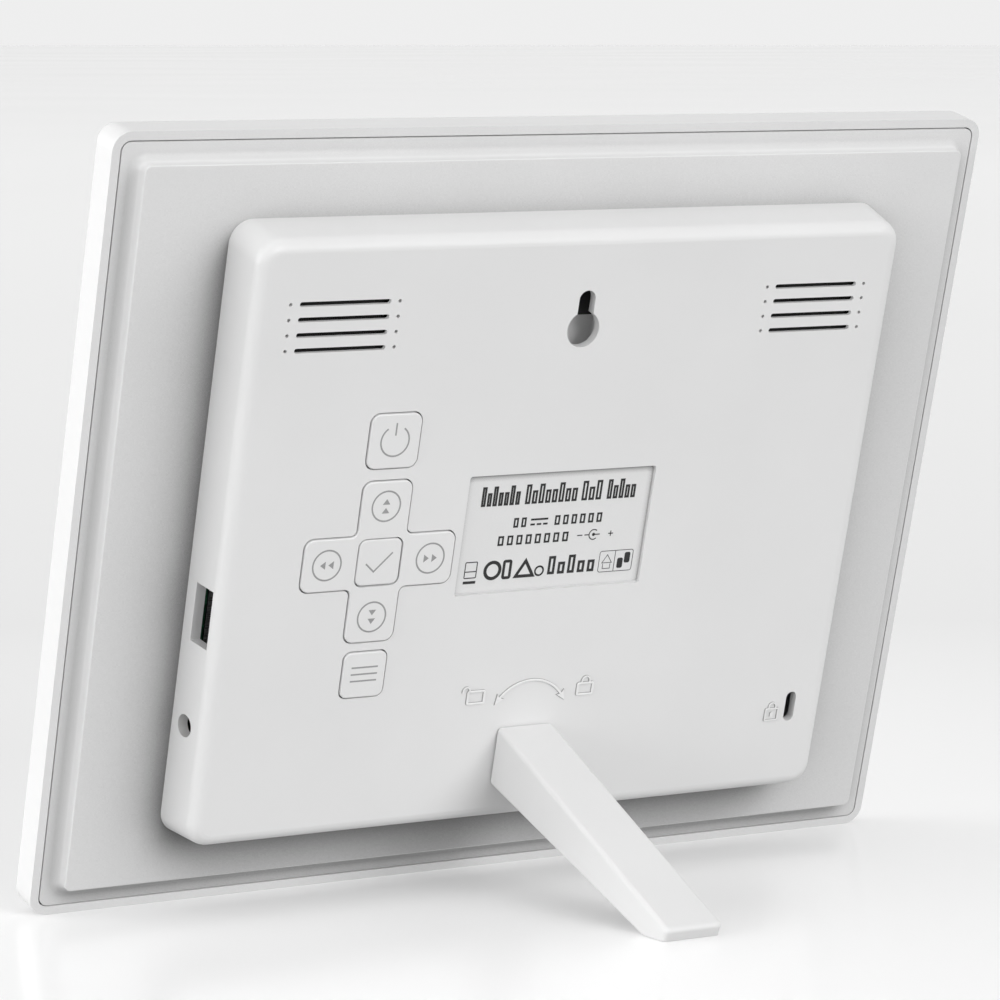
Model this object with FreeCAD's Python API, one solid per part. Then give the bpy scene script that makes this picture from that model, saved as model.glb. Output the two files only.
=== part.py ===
import FreeCAD
import Part
import math
import os
from FreeCAD import Vector

# A free-standing digital photo frame: a wide bezel round a 4:3 screen, a rear cover with a
# shallow plateau and a housing hump, keys on the hump, and one plug-in leg.
#
# The frame is modelled upright first. In that layout x runs to the left as seen from behind,
# y runs out of the back, z runs up the panel, and y = 0 is the rim at the back of the bezel.
# The last step leans the whole object back on its leg and puts the floor at Z = 0.
# All sizes are in millimetres.

# ---- Overall ----
overall_width = 209.0
overall_height = 167.0
bezel_depth = 8.5
lean_deg = 15.0

# ---- Front bezel ----
outer_corner_r = 4.0
front_edge_r = 2.0
front_wall = 2.0
rim_wall = 1.8
shelf_width = 1.2
shelf_depth = 2.0
seam_gap = 0.3
side_border = 23.0
top_border = 22.2
window_bevel = 1.2
window_corner_r = 0.8

# ---- Rear cover ----
cover_wall = 2.0
plateau_inset = 6.1
plateau_rise = 2.9
plateau_corner_r = 1.5
plateau_edge_r = 0.3
cove_r = 2.0
hump_rise = 14.5
hump_side_margin = 20.1
hump_top_margin = 11.2
hump_corner_r = 5.0
hump_draft = 1.3
hump_edge_r = 2.8
clip_width = 8.0
clip_thickness = 1.2
clip_drop = 3.2
clip_nib = 0.5
clip_gap = 0.2
clips_along_width = 3
clips_along_height = 2

# ---- Screen ----
gasket_thickness = 0.4
gasket_width = 4.0
lip_thickness = 0.3
lip_setback = 1.4
glass_thickness = 1.6
light_guide_thickness = 2.6
chassis_wall = 0.4
chassis_margin = 9.9
stack_gap = 0.05

# ---- Clamp strips that hold the screen ----
boss_r = 2.2
boss_offset = 2.7
boss_end_inset = 15.0
strip_thickness = 0.6
strip_reach = 6.0
strip_width = 8.0

# ---- Screws ----
screw_r = 1.0
screw_hole_r = 1.05
screw_head_r = 1.9
screw_head_height = 1.0
screw_length = 4.0
screw_recess = 0.5
screw_post_r = 2.6
board_screw_bite = 0.7164

# ---- Main board, hung from the back face ----
board_thickness = 1.6
board_drop = 10.6
board_length = 110.0
board_height = 60.0
board_edge_gap = 0.4
board_hole_inset = 4.0
processor_size = 14.0
chip_height = 1.2
memory_width = 8.0
memory_length = 12.0
capacitor_r = 2.5
capacitor_height = 5.0
inductor_size = 7.0
inductor_height = 3.0
cell_r = 10.0
cell_thickness = 3.2
cell_holder_size = 24.0
cell_holder_height = 4.6
ribbon_thickness = 0.2
ribbon_width = 18.0
ribbon_socket_depth = 5.0
ribbon_start = 30.0
ribbon_slack = 12.0
processor_from_right = 38.0
processor_from_low = 34.0
cell_from_right = 14.0
cell_from_low = 40.0

# ---- Side sockets ----
usb_above_hump_base = 50.6
usb_from_back = 5.5
usb_opening_length = 12.6
usb_opening_height = 6.0
usb_shell_length = 13.2
usb_shell_height = 5.9
usb_shell_wall = 0.3
usb_shell_depth = 11.5
usb_tongue_thickness = 1.8
usb_tongue_setback = 2.0
usb_block_depth = 4.0
jack_above_hump_base = 26.0
jack_from_back = 7.0
jack_hole_r = 2.4
jack_bore_r = 1.9
jack_pin_r = 0.65
jack_body_length = 12.0
jack_body_width = 8.0
jack_body_top = 3.4
jack_bore_depth = 9.5
socket_wall_gap = 0.3

# ---- Vents and speakers ----
vent_side_inset = 21.5
vent_top_inset = 19.15
vent_slot_length = 20.7
vent_slot_width = 1.0
vent_slot_pitch = 3.23
vent_slots = 4
vent_dot_r = 0.38
vent_wall = 0.9
vent_pocket_margin = 0.8
vent_dot_offset = 12.4
speaker_length = 25.0
speaker_height = 19.0
speaker_frame_depth = 4.0
speaker_wall = 1.2
speaker_magnet_r = 6.5
speaker_magnet_depth = 3.0
speaker_cone_depth = 2.6
speaker_ear = 5.4
speaker_seat_gap = 0.2

# ---- Keyhole ----
keyhole_top_inset = 22.0
keyhole_round_r = 3.85
keyhole_slot_width = 3.9
keyhole_slot_top = 8.4
hood_depth = 5.0
hood_wall = 1.2
hood_margin = 2.6

# ---- Keys ----
pad_side_inset = 19.25
pad_top_inset = 70.3
key_gap = 0.3
key_proud = 0.4
key_edge_r = 0.3
key_flange = 1.0
key_flange_thickness = 0.8
key_flange_gap = 0.3
power_size = 11.7
power_pad_gap = 2.8
power_corner_r = 2.0
pad_span = 35.1
pad_arm = 11.4
pad_corner_r = 2.0
pad_inner_r = 1.5
pad_flange_gap = 0.7
pad_key_inset = 5.4
confirm_size = 10.0
confirm_corner_r = 1.6
menu_size = 10.0
menu_pad_gap = 2.3
menu_corner_r = 1.6
stem_r = 1.5
pad_ring_inner = 13.0
pad_ring_outer = 17.0
pad_ring_thickness = 0.8
pad_barrel_r = 0.6
pad_barrel_gap = 0.05
pad_cradle_width = 1.6
pad_cradle_length = 2.4
pad_cradle_clear = 0.1

# ---- Key board and switches, hung from the back face ----
plunger_drop = 5.1
plunger_r = 1.7
plunger_length = 1.4
plunger_gap = 0.1
plunger_stroke_room = 0.7
switch_size = 6.0
switch_body_height = 1.7
switch_bore_depth = 1.3
key_board_thickness = 1.2
key_board_side_margin = 3.45
key_board_over = 9.0
key_board_under = 6.0
key_post_inset = 3.5

# ---- Rating label and lock slot ----
label_width = 45.0
label_height = 26.0
label_recess = 0.9
label_thickness = 0.2
label_gap = 0.2
label_pad_gap = 2.05
lock_slot_width = 2.6
lock_slot_length = 6.9
lock_slot_side_inset = 9.9
lock_slot_base_inset = 20.6

# ---- Leg and its bayonet socket ----
leg_side_trim = 0.35
leg_root_top = 39.5
leg_root_trim = 0.55
leg_reach = 71.3
leg_underside_deg = 5.5
leg_toe_height = 2.6
leg_toe_lean = 0.5
leg_edge_r = 1.0
leg_face_gap = 0.3
leg_core_wall = 2.2
leg_core_depth = 5.0
spigot_r = 5.4
spigot_gap = 0.08
lug_reach = 1.5
lug_notch_gap = 0.2
lug_half_angle = 16.0
notch_half_angle = 19.0
lug_thickness = 2.4
lug_under_wall = 0.3
lug_rest_angle = 45.0
lug_turn = 90.0
stop_gap_angle = 2.0
socket_lug_gap = 0.4
socket_wall = 1.8
socket_floor = 1.6
socket_floor_gap = 0.4
socket_ear_gap = 4.4

# ---- Worked out from the sizes above ----
front_y = -bezel_depth
screen_seat_y = front_y + front_wall
half_width = overall_width / 2
half_height = overall_height / 2
opening_width = overall_width - 2 * rim_wall
opening_height = overall_height - 2 * rim_wall
cover_width = opening_width - 2 * seam_gap
cover_height = opening_height - 2 * seam_gap
plateau_width = overall_width - 2 * plateau_inset
plateau_height = overall_height - 2 * plateau_inset
hump_width = plateau_width - 2 * hump_side_margin
hump_height = plateau_height - 2 * hump_top_margin
window_width = overall_width - 2 * side_border
window_height = overall_height - 2 * top_border

cover_back_y = hump_rise
cover_inner_y = cover_back_y - cover_wall
plateau_inner_y = plateau_rise - cover_wall
hump_half_width = hump_width / 2
hump_half_height = hump_height / 2

lip_y = screen_seat_y + gasket_thickness
glass_y = lip_y + lip_thickness + stack_gap
light_guide_y = glass_y + glass_thickness + stack_gap
chassis_inner_y = light_guide_y + light_guide_thickness + stack_gap
chassis_back_y = chassis_inner_y + chassis_wall
chassis_width = window_width + 2 * chassis_margin
chassis_height = window_height + 2 * chassis_margin

board_back_y = cover_back_y - board_drop
board_front_y = board_back_y - board_thickness
board_post_height = board_front_y - chassis_back_y
board_screw_length = board_thickness + board_screw_bite * board_post_height
board_left = hump_half_width - hump_draft - cover_wall - board_edge_gap
board_right = board_left - board_length
usb_z = usb_above_hump_base - hump_half_height
usb_y = cover_back_y - usb_from_back
jack_z = jack_above_hump_base - hump_half_height
jack_y = cover_back_y - jack_from_back
board_low = jack_z - jack_body_width / 2 - 2 * board_hole_inset
board_top = board_low + board_height

plunger_y = cover_back_y - plunger_drop
key_board_back_y = plunger_y - plunger_stroke_room - switch_body_height
key_board_front_y = key_board_back_y - key_board_thickness
key_x = hump_half_width - pad_side_inset - pad_span / 2
pad_z = hump_half_height - pad_top_inset
power_rise = pad_span / 2 + power_pad_gap + power_size / 2
menu_drop = pad_span / 2 + menu_pad_gap + menu_size / 2
pad_key_distance = pad_span / 2 - pad_key_inset
key_board_width = pad_span + 2 * key_board_side_margin
power_z = pad_z + power_rise
menu_z = pad_z - menu_drop
key_board_top = power_z + key_board_over
key_board_low = menu_z - key_board_under
key_flange_y = cover_inner_y - key_flange_gap
pad_flange_y = cover_inner_y - pad_flange_gap
confirm_flange_y = plunger_y + key_flange_gap + key_flange_thickness
pad_ring_back_y = pad_flange_y - key_flange_thickness - key_flange_gap
pad_pivot_y = pad_ring_back_y - pad_ring_thickness / 2
pad_barrel_offset = (pad_ring_inner + pad_ring_outer) / 4

vent_x = hump_half_width - vent_side_inset
vent_z = hump_half_height - vent_top_inset
speaker_back_y = cover_inner_y - speaker_seat_gap
speaker_front_y = speaker_back_y - speaker_frame_depth
keyhole_z = hump_half_height - keyhole_top_inset

label_x = key_x - pad_span / 2 - label_pad_gap - label_width / 2
lock_slot_x = lock_slot_side_inset - hump_half_width
lock_slot_z = lock_slot_base_inset - hump_half_height

lug_r = spigot_r + lug_reach
notch_r = lug_r + lug_notch_gap
socket_inner_r = lug_r + socket_lug_gap
socket_ear_offset = socket_inner_r + socket_wall + socket_ear_gap
leg_width = 2 * (notch_r - leg_side_trim)
leg_root_height = 2 * (notch_r - leg_root_trim)
leg_root_z = leg_root_top - half_height
leg_axis_z = leg_root_z - leg_root_height / 2
leg_start_y = cover_back_y + leg_face_gap
lug_top_y = cover_inner_y - lug_under_wall
lug_low_y = lug_top_y - lug_thickness
socket_floor_y = lug_low_y - socket_floor_gap

key_places = (
    (0, power_rise),
    (0, pad_key_distance),
    (pad_key_distance, 0),
    (-pad_key_distance, 0),
    (0, -pad_key_distance),
    (0, 0),
    (0, -menu_drop),
)


# ---- Basic shapes ----
def block(x0, x1, y0, y1, z0, z1):
    """A box between two corners."""
    return Part.makeBox(x1 - x0, y1 - y0, z1 - z0, Vector(x0, y0, z0))


def disc(x, z, radius, y0, y1):
    """A cylinder whose axis runs front to back."""
    return Part.makeCylinder(radius, y1 - y0, Vector(x, y0, z), Vector(0, 1, 0))


def rounded_wire(width, height, radius, y, x=0.0, z=0.0):
    """A rectangle with rounded corners, in the plane at y."""
    edges = []
    ends = []
    corners = ((1, 1), (-1, 1), (-1, -1), (1, -1))
    for index, (side_x, side_z) in enumerate(corners):
        cx = x + side_x * (width / 2 - radius)
        cz = z + side_z * (height / 2 - radius)
        points = []
        for step in range(3):
            angle = math.radians(90 * index + 45 * step)
            points.append(Vector(cx + radius * math.cos(angle), y, cz + radius * math.sin(angle)))
        edges.append(Part.Arc(*points).toShape())
        ends.append((points[0], points[2]))
    path = []
    for index in range(4):
        path.append(edges[index])
        start = ends[index][1]
        finish = ends[(index + 1) % 4][0]
        if start.distanceToPoint(finish) > 1e-6:
            path.append(Part.LineSegment(start, finish).toShape())
    return Part.Wire(path)


def plate(width, height, radius, y0, y1, x=0.0, z=0.0):
    """A rounded rectangle with thickness."""
    face = Part.Face(rounded_wire(width, height, radius, y0, x, z))
    return face.extrude(Vector(0, y1 - y0, 0))


def tapered_plate(size_0, radius_0, y0, size_1, radius_1, y1):
    """A rounded rectangle that changes size from y0 to y1."""
    lower = rounded_wire(size_0[0], size_0[1], radius_0, y0)
    upper = rounded_wire(size_1[0], size_1[1], radius_1, y1)
    return Part.makeLoft([lower, upper], True, True)


def prism(points, y0, y1):
    """A polygon in x and z, extruded from y0 to y1."""
    corners = [Vector(x, y0, z) for x, z in points]
    wire = Part.makePolygon(corners + [corners[0]])
    return Part.Face(wire).extrude(Vector(0, y1 - y0, 0))


def sector(x, z, inner, outer, start_deg, end_deg, y0, y1):
    """A ring sector; angles run anticlockwise as seen from behind, from the viewer's right."""
    ring = disc(x, z, outer, y0, y1)
    if inner > 0:
        ring = ring.cut(disc(x, z, inner, y0 - 1, y1 + 1))
    reach = 2 * outer
    points = [(x, z)]
    steps = max(1, math.ceil((end_deg - start_deg) / 60))
    for step in range(steps + 1):
        angle = math.radians(start_deg + (end_deg - start_deg) * step / steps)
        points.append((x - reach * math.cos(angle), z + reach * math.sin(angle)))
    return ring.common(prism(points, y0, y1))


def joined(shapes):
    """One solid from pieces that overlap."""
    return shapes[0].multiFuse(shapes[1:]).removeSplitter()


def group(shapes):
    """Several separate solids in one node."""
    return Part.makeCompound(shapes)


def edges_at_y(shape, y):
    """The edges that lie wholly in the plane at y."""
    found = []
    for edge in shape.Edges:
        box = edge.BoundBox
        if abs(box.YMin - y) < 1e-4 and abs(box.YMax - y) < 1e-4:
            found.append(edge)
    return found


def screw(x, z, head_y, into, length=screw_length):
    """A pan-head screw; into is +1 when its point faces the back, -1 when it faces the front."""
    if into > 0:
        shank = disc(x, z, screw_r, head_y, head_y + length)
        head = disc(x, z, screw_head_r, head_y - screw_head_height, head_y)
        slot_y = (head_y - screw_head_height - 1, head_y - screw_head_height + screw_recess)
    else:
        shank = disc(x, z, screw_r, head_y - length, head_y)
        head = disc(x, z, screw_head_r, head_y, head_y + screw_head_height)
        slot_y = (head_y + screw_head_height - screw_recess, head_y + screw_head_height + 1)
    body = joined([shank, head])
    arm = screw_head_r * 0.65
    blade = screw_r * 0.3
    for half_x, half_z in ((arm, blade), (blade, arm)):
        slot = block(x - half_x, x + half_x, slot_y[0], slot_y[1], z - half_z, z + half_z)
        body = body.cut(slot)
    return body


# ---- Casing ----
def clip_places():
    """Middles of the snap clips: x, z and the direction that each one faces."""
    places = []
    for index in range(clips_along_width):
        x = half_width * (2 * index / (clips_along_width - 1) - 1) * 0.6
        places.append((x, cover_height / 2, 0, 1))
        places.append((x, -cover_height / 2, 0, -1))
    for index in range(clips_along_height):
        z = half_height * (2 * index / (clips_along_height - 1) - 1) * 0.5
        places.append((cover_width / 2, z, 1, 0))
        places.append((-cover_width / 2, z, -1, 0))
    return places


def clip_block(place, width, near, far, y0, y1):
    """A block on the inside of the rim, from near to far in from the shelf's edge."""
    x, z, side_x, side_z = place
    shelf_x = side_x * (opening_width / 2 - shelf_width)
    shelf_z = side_z * (opening_height / 2 - shelf_width)
    if side_x:
        x0, x1 = sorted((shelf_x - side_x * near, shelf_x - side_x * far))
        return block(x0, x1, y0, y1, z - width / 2, z + width / 2)
    z0, z1 = sorted((shelf_z - side_z * near, shelf_z - side_z * far))
    return block(x - width / 2, x + width / 2, y0, y1, z0, z1)


def boss_places():
    """Middles of the bosses beside the screen, and the side that each one is on."""
    x = chassis_width / 2 + boss_offset
    z = chassis_height / 2 - boss_end_inset
    return [(side_x * x, side_z * z, side_x) for side_x in (-1, 1) for side_z in (-1, 1)]


def make_front_bezel():
    body = plate(overall_width, overall_height, outer_corner_r, front_y, 0)
    body = body.makeFillet(front_edge_r, edges_at_y(body, front_y))
    shelf_opening = (opening_width - 2 * shelf_width, opening_height - 2 * shelf_width)
    inner_r = outer_corner_r - rim_wall
    body = body.cut(plate(shelf_opening[0], shelf_opening[1], inner_r, screen_seat_y, 1))
    body = body.cut(plate(opening_width, opening_height, inner_r, -shelf_depth, 1))
    bevel_size = (window_width + 2 * window_bevel, window_height + 2 * window_bevel)
    bevel_y = front_y + window_bevel
    window = plate(window_width, window_height, window_corner_r, front_y - 1, screen_seat_y + 1)
    bevel = tapered_plate(bevel_size, window_corner_r, front_y,
                          (window_width, window_height), window_corner_r, bevel_y)
    body = body.cut(window).cut(bevel)
    for place in clip_places():
        nib_low = -shelf_depth - clip_drop - clip_gap
        nib_high = nib_low + 2 * clip_nib + 2 * clip_gap
        pocket = clip_block(place, clip_width + 2 * clip_gap, 0.1, -clip_nib, nib_low, nib_high)
        body = body.cut(pocket)
    bosses = []
    for x, z, side in boss_places():
        bosses.append(disc(x, z, boss_r, screen_seat_y - 0.2, chassis_back_y))
    body = joined([body] + bosses)
    for x, z, side in boss_places():
        hole_low = chassis_back_y + strip_thickness - screw_length - stack_gap
        body = body.cut(disc(x, z, screw_hole_r, hole_low, chassis_back_y + 1))
    return body


def cross_plate(span, arm, corner_r, inner_r, y0, y1):
    """A plus sign with rounded outer and inner corners, on the direction pad's middle."""
    across = plate(span, arm, corner_r, y0, y1, key_x, pad_z)
    upright = plate(arm, span, corner_r, y0, y1, key_x, pad_z)
    cross = joined([across, upright])
    inner = []
    for edge in cross.Edges:
        box = edge.BoundBox
        upright_edge = box.XLength < 1e-4 and box.ZLength < 1e-4
        in_x = abs(abs(box.XMin - key_x) - arm / 2) < 1e-3
        in_z = abs(abs(box.ZMin - pad_z) - arm / 2) < 1e-3
        if upright_edge and in_x and in_z:
            inner.append(edge)
    return cross.makeFillet(inner_r, inner)


def key_openings():
    """The holes in the cover for the keys, each wider than its key by the key gap."""
    y0 = cover_inner_y - 1
    y1 = cover_back_y + 1
    power = power_size + 2 * key_gap
    menu = menu_size + 2 * key_gap
    span = pad_span + 2 * key_gap
    arm = pad_arm + 2 * key_gap
    return [
        plate(power, power, power_corner_r + key_gap, y0, y1, key_x, power_z),
        plate(menu, menu, menu_corner_r + key_gap, y0, y1, key_x, menu_z),
        cross_plate(span, arm, pad_corner_r + key_gap, pad_inner_r - key_gap, y0, y1),
    ]


def vent_openings(side):
    """One vent: a stack of slots with a small hole past each end."""
    y0 = cover_inner_y - 1
    y1 = cover_back_y + 1
    x = side * vent_x
    cuts = []
    for row in range(vent_slots):
        z = vent_z + (row - (vent_slots - 1) / 2) * vent_slot_pitch
        slot_r = vent_slot_width / 2 - 0.01
        cuts.append(plate(vent_slot_length, vent_slot_width, slot_r, y0, y1, x, z))
        for end in (-1, 1):
            cuts.append(disc(x + end * vent_dot_offset, z, vent_dot_r, y0, y1))
    return cuts


def vent_pocket(side):
    """A shallow pocket inside the cover that leaves a thin wall round one vent."""
    width = 2 * (vent_dot_offset + vent_dot_r + vent_pocket_margin)
    height = (vent_slots - 1) * vent_slot_pitch + vent_slot_width + 2 * vent_pocket_margin
    return plate(width, height, vent_pocket_margin, cover_inner_y - 1, cover_back_y - vent_wall,
                 side * vent_x, vent_z)


def keyhole_opening():
    """A round mouth for a screw head, with a slot above it for the shank."""
    y0 = cover_inner_y - 1
    y1 = cover_back_y + 1
    mouth = disc(0, keyhole_z, keyhole_round_r, y0, y1)
    slot_r = keyhole_slot_width / 2 - 0.01
    slot_z = keyhole_z + keyhole_slot_top / 2
    slot = plate(keyhole_slot_width, keyhole_slot_top, slot_r, y0, y1, 0, slot_z)
    return joined([mouth, slot])


def keyhole_hood():
    """The closed pocket behind the keyhole, open only towards the back face."""
    width = 2 * (keyhole_round_r + hood_margin)
    low = keyhole_z - keyhole_round_r - hood_margin
    high = keyhole_z + keyhole_slot_top + hood_margin
    middle = (low + high) / 2
    floor_y = cover_inner_y - hood_depth
    outer = plate(width + 2 * hood_wall, high - low + 2 * hood_wall, 1.5,
                  floor_y - hood_wall, cover_inner_y + 0.2, 0, middle)
    return outer.cut(plate(width, high - low, 1.0, floor_y, cover_inner_y + 1, 0, middle))


def side_socket_openings():
    """The USB and DC openings in the hump's left wall, as seen from behind."""
    x0 = hump_half_width - hump_draft - cover_wall - 2
    x1 = hump_half_width + 2
    half_length = usb_opening_length / 2
    half_rise = usb_opening_height / 2
    usb = block(x0, x1, usb_y - half_rise, usb_y + half_rise, usb_z - half_length, usb_z + half_length)
    jack = Part.makeCylinder(jack_hole_r, x1 - x0, Vector(x0, jack_y, jack_z), Vector(1, 0, 0))
    return [usb, jack]


def bayonet_opening():
    """The round hole for the leg's spigot, with two notches that let the lugs through."""
    y0 = cover_inner_y - 1
    y1 = cover_back_y + 1
    hole = disc(0, leg_axis_z, spigot_r + spigot_gap, y0, y1)
    cuts = [hole]
    for half_turn in (0, 180):
        middle = lug_rest_angle + lug_turn + half_turn
        cuts.append(sector(0, leg_axis_z, 0, notch_r,
                           middle - notch_half_angle, middle + notch_half_angle, y0, y1))
    return cuts


def key_board_posts():
    """Middles of the four posts that carry the key board."""
    x = key_board_width / 2 - key_post_inset
    top = key_board_top - key_post_inset
    low = key_board_low + key_post_inset
    return [(key_x + side * x, z) for side in (-1, 1) for z in (low, top)]


def speaker_posts(side):
    """Middles of the two screws at the ends of one speaker."""
    offset = speaker_length / 2 + speaker_ear / 2
    return [(side * vent_x + end * offset, vent_z) for end in (-1, 1)]


def socket_posts():
    """Middles of the two screws that hold the leg socket."""
    return [(side * socket_ear_offset, leg_axis_z) for side in (-1, 1)]


def cover_posts():
    """Every post inside the cover: its place and how far forward it stands."""
    posts = [(x, z, key_board_back_y) for x, z in key_board_posts()]
    for side in (-1, 1):
        posts += [(x, z, speaker_front_y + speaker_wall) for x, z in speaker_posts(side)]
    posts += [(x, z, socket_floor_y) for x, z in socket_posts()]
    return posts


def make_rear_cover():
    flange = plate(cover_width, cover_height, outer_corner_r - rim_wall - seam_gap, -shelf_depth, 0)
    plateau = plate(plateau_width, plateau_height, plateau_corner_r, -shelf_depth, plateau_rise)
    plateau = plateau.makeFillet(plateau_edge_r, edges_at_y(plateau, plateau_rise))
    shell = joined([flange, plateau])
    cove = []
    for edge in edges_at_y(shell, 0):
        box = edge.BoundBox
        if box.XMax <= plateau_width / 2 + 1e-3 and box.ZMax <= plateau_height / 2 + 1e-3:
            if box.XMin >= -plateau_width / 2 - 1e-3 and box.ZMin >= -plateau_height / 2 - 1e-3:
                cove.append(edge)
    shell = shell.makeFillet(cove_r, cove)
    top_size = (hump_width - 2 * hump_draft, hump_height - 2 * hump_draft)
    hump = tapered_plate((hump_width, hump_height), hump_corner_r, plateau_rise,
                         top_size, hump_corner_r, cover_back_y)
    hump = hump.makeFillet(hump_edge_r, edges_at_y(hump, cover_back_y))
    root = plate(hump_width, hump_height, hump_corner_r, 0, plateau_rise)
    shell = joined([shell, root, hump])
    shell = shell.cut(plate(plateau_width - 2 * cover_wall, plateau_height - 2 * cover_wall, 1.0,
                            -shelf_depth - 1, plateau_inner_y))
    base_size = (hump_width - 2 * cover_wall, hump_height - 2 * cover_wall)
    inner_top = (top_size[0] - 2 * cover_wall, top_size[1] - 2 * cover_wall)
    inner_r = hump_corner_r - cover_wall
    hollow = tapered_plate(base_size, inner_r, plateau_inner_y - 0.1, inner_top, inner_r, cover_inner_y)
    shell = shell.cut(hollow)
    cuts = key_openings() + vent_openings(1) + vent_openings(-1) + side_socket_openings()
    cuts += bayonet_opening() + [vent_pocket(1), vent_pocket(-1)]
    cuts.append(keyhole_opening())
    cuts.append(plate(label_width + 2 * label_gap, label_height + 2 * label_gap, 0.6,
                      cover_back_y - label_recess, cover_back_y + 1, label_x, 0))
    slot_r = lock_slot_width / 2 - 0.01
    cuts.append(plate(lock_slot_width, lock_slot_length, slot_r, cover_inner_y - 1, cover_back_y + 1,
                      lock_slot_x, lock_slot_z))
    for cut in cuts:
        shell = shell.cut(cut)
    added = [keyhole_hood()]
    for x, z, y in cover_posts():
        added.append(disc(x, z, screw_post_r, y, cover_inner_y + 0.2))
    for place in clip_places():
        tab_low = -shelf_depth - clip_drop
        tab = clip_block(place, clip_width, clip_gap, clip_gap + clip_thickness, tab_low, -shelf_depth + 0.5)
        nib = clip_block(place, clip_width, clip_gap - clip_nib, clip_gap + 0.1, tab_low,
                         tab_low + 2 * clip_nib)
        added += [tab, nib]
    shell = joined([shell] + added)
    for x, z, y in cover_posts():
        shell = shell.cut(disc(x, z, screw_hole_r, y - 1, y + screw_length + 0.2))
    return shell


def make_label_plate():
    y0 = cover_back_y - label_recess
    return plate(label_width, label_height, 0.5, y0, y0 + label_thickness, label_x, 0)


# ---- Screen ----
def make_screen_gasket():
    width = window_width + 2 * gasket_width
    height = window_height + 2 * gasket_width
    ring = plate(width, height, 1.0, screen_seat_y, lip_y)
    inner = plate(window_width + 1, window_height + 1, 0.5, screen_seat_y - 1, lip_y + 1)
    return ring.cut(inner)


def make_lcd_glass():
    width = chassis_width - 2 * chassis_wall - 2 * stack_gap
    height = chassis_height - 2 * chassis_wall - 2 * stack_gap
    return plate(width, height, 0.3, glass_y, glass_y + glass_thickness)


def make_light_guide():
    width = chassis_width - 2 * chassis_wall - 2 * stack_gap
    height = chassis_height - 2 * chassis_wall - 2 * stack_gap
    return plate(width, height, 0.3, light_guide_y, light_guide_y + light_guide_thickness)


def board_posts():
    """Middles of the four posts that carry the main board."""
    left = board_left - board_hole_inset
    right = board_right + board_hole_inset
    low = board_low + board_hole_inset
    top = board_top - board_hole_inset
    return [(x, z) for x in (right, left) for z in (low, top)]


def make_lcd_chassis():
    tray = plate(chassis_width, chassis_height, 0.8, lip_y, chassis_back_y)
    inner_width = chassis_width - 2 * chassis_wall
    inner_height = chassis_height - 2 * chassis_wall
    tray = tray.cut(plate(inner_width, inner_height, 0.4, lip_y + lip_thickness, chassis_inner_y))
    lip_width = window_width + 2 * lip_setback
    lip_height = window_height + 2 * lip_setback
    tray = tray.cut(plate(lip_width, lip_height, 0.5, lip_y - 1, lip_y + lip_thickness + 0.01))
    posts = []
    for x, z in board_posts():
        posts.append(disc(x, z, screw_post_r, chassis_back_y - chassis_wall / 2, board_front_y))
    tray = joined([tray] + posts)
    for x, z in board_posts():
        tray = tray.cut(disc(x, z, screw_hole_r, chassis_back_y, board_front_y + 1))
    return tray


def make_clamp_strips():
    strips = []
    for x, z, side in boss_places():
        x0, x1 = sorted((x + side * boss_r, x - side * (boss_offset + strip_reach)))
        strip = block(x0, x1, chassis_back_y, chassis_back_y + strip_thickness,
                      z - strip_width / 2, z + strip_width / 2)
        strips.append(strip.cut(disc(x, z, screw_hole_r, chassis_back_y - 1, chassis_back_y + 2)))
    return group(strips)


def make_clamp_screws():
    head_y = chassis_back_y + strip_thickness
    return group([screw(x, z, head_y, -1) for x, z, side in boss_places()])


def make_display_ribbon():
    """A flat cable from the chassis to the socket at the main board's top edge."""
    x0 = board_right + ribbon_start
    x1 = x0 + ribbon_width
    top = board_top + ribbon_slack
    socket_top = board_back_y + ribbon_thickness * 6
    end = board_top - ribbon_socket_depth
    low_y = chassis_back_y
    run = block(x0, x1, low_y, low_y + ribbon_thickness, board_top + 1, top)
    rise = block(x0, x1, low_y, socket_top + ribbon_thickness, board_top + 1,
                 board_top + 1 + ribbon_thickness)
    over = block(x0, x1, socket_top, socket_top + ribbon_thickness, end, board_top + 1 + ribbon_thickness)
    return joined([run, rise, over])


# ---- Main board ----
def make_main_board():
    middle_x = (board_left + board_right) / 2
    middle_z = (board_low + board_top) / 2
    board = plate(board_length, board_height, 1.0, board_front_y, board_back_y, middle_x, middle_z)
    for x, z in board_posts():
        board = board.cut(disc(x, z, screw_hole_r, board_front_y - 1, board_back_y + 1))
    return board


def make_board_screws():
    return group([screw(x, z, board_back_y, -1, board_screw_length) for x, z in board_posts()])


def on_board(x, z, width, length, height):
    """A box that stands on the back of the main board."""
    return block(x - width / 2, x + width / 2, board_back_y, board_back_y + height,
                 z - length / 2, z + length / 2)


def processor_middle():
    return (board_right + processor_from_right, board_low + processor_from_low)


def make_processor():
    x, z = processor_middle()
    return on_board(x, z, processor_size, processor_size, chip_height)


def make_memory_chips():
    x, z = processor_middle()
    gap = processor_size / 2 + memory_width
    beside = on_board(x + gap, z, memory_width, memory_length, chip_height)
    below = on_board(x, z - gap, memory_length, memory_width, chip_height)
    return group([beside, below])


def make_capacitors():
    cans = []
    for index in range(3):
        x = board_right + (4 + 3 * index) * capacitor_r
        cans.append(disc(x, board_low + 4 * capacitor_r, capacitor_r, board_back_y,
                         board_back_y + capacitor_height))
    return group(cans)


def make_inductor():
    x, z = processor_middle()
    base = on_board(x + inductor_size, board_low + 4 * capacitor_r, inductor_size, inductor_size,
                    inductor_height)
    return base.makeFillet(1.0, [edge for edge in base.Edges if edge.BoundBox.YLength > 1])


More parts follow.
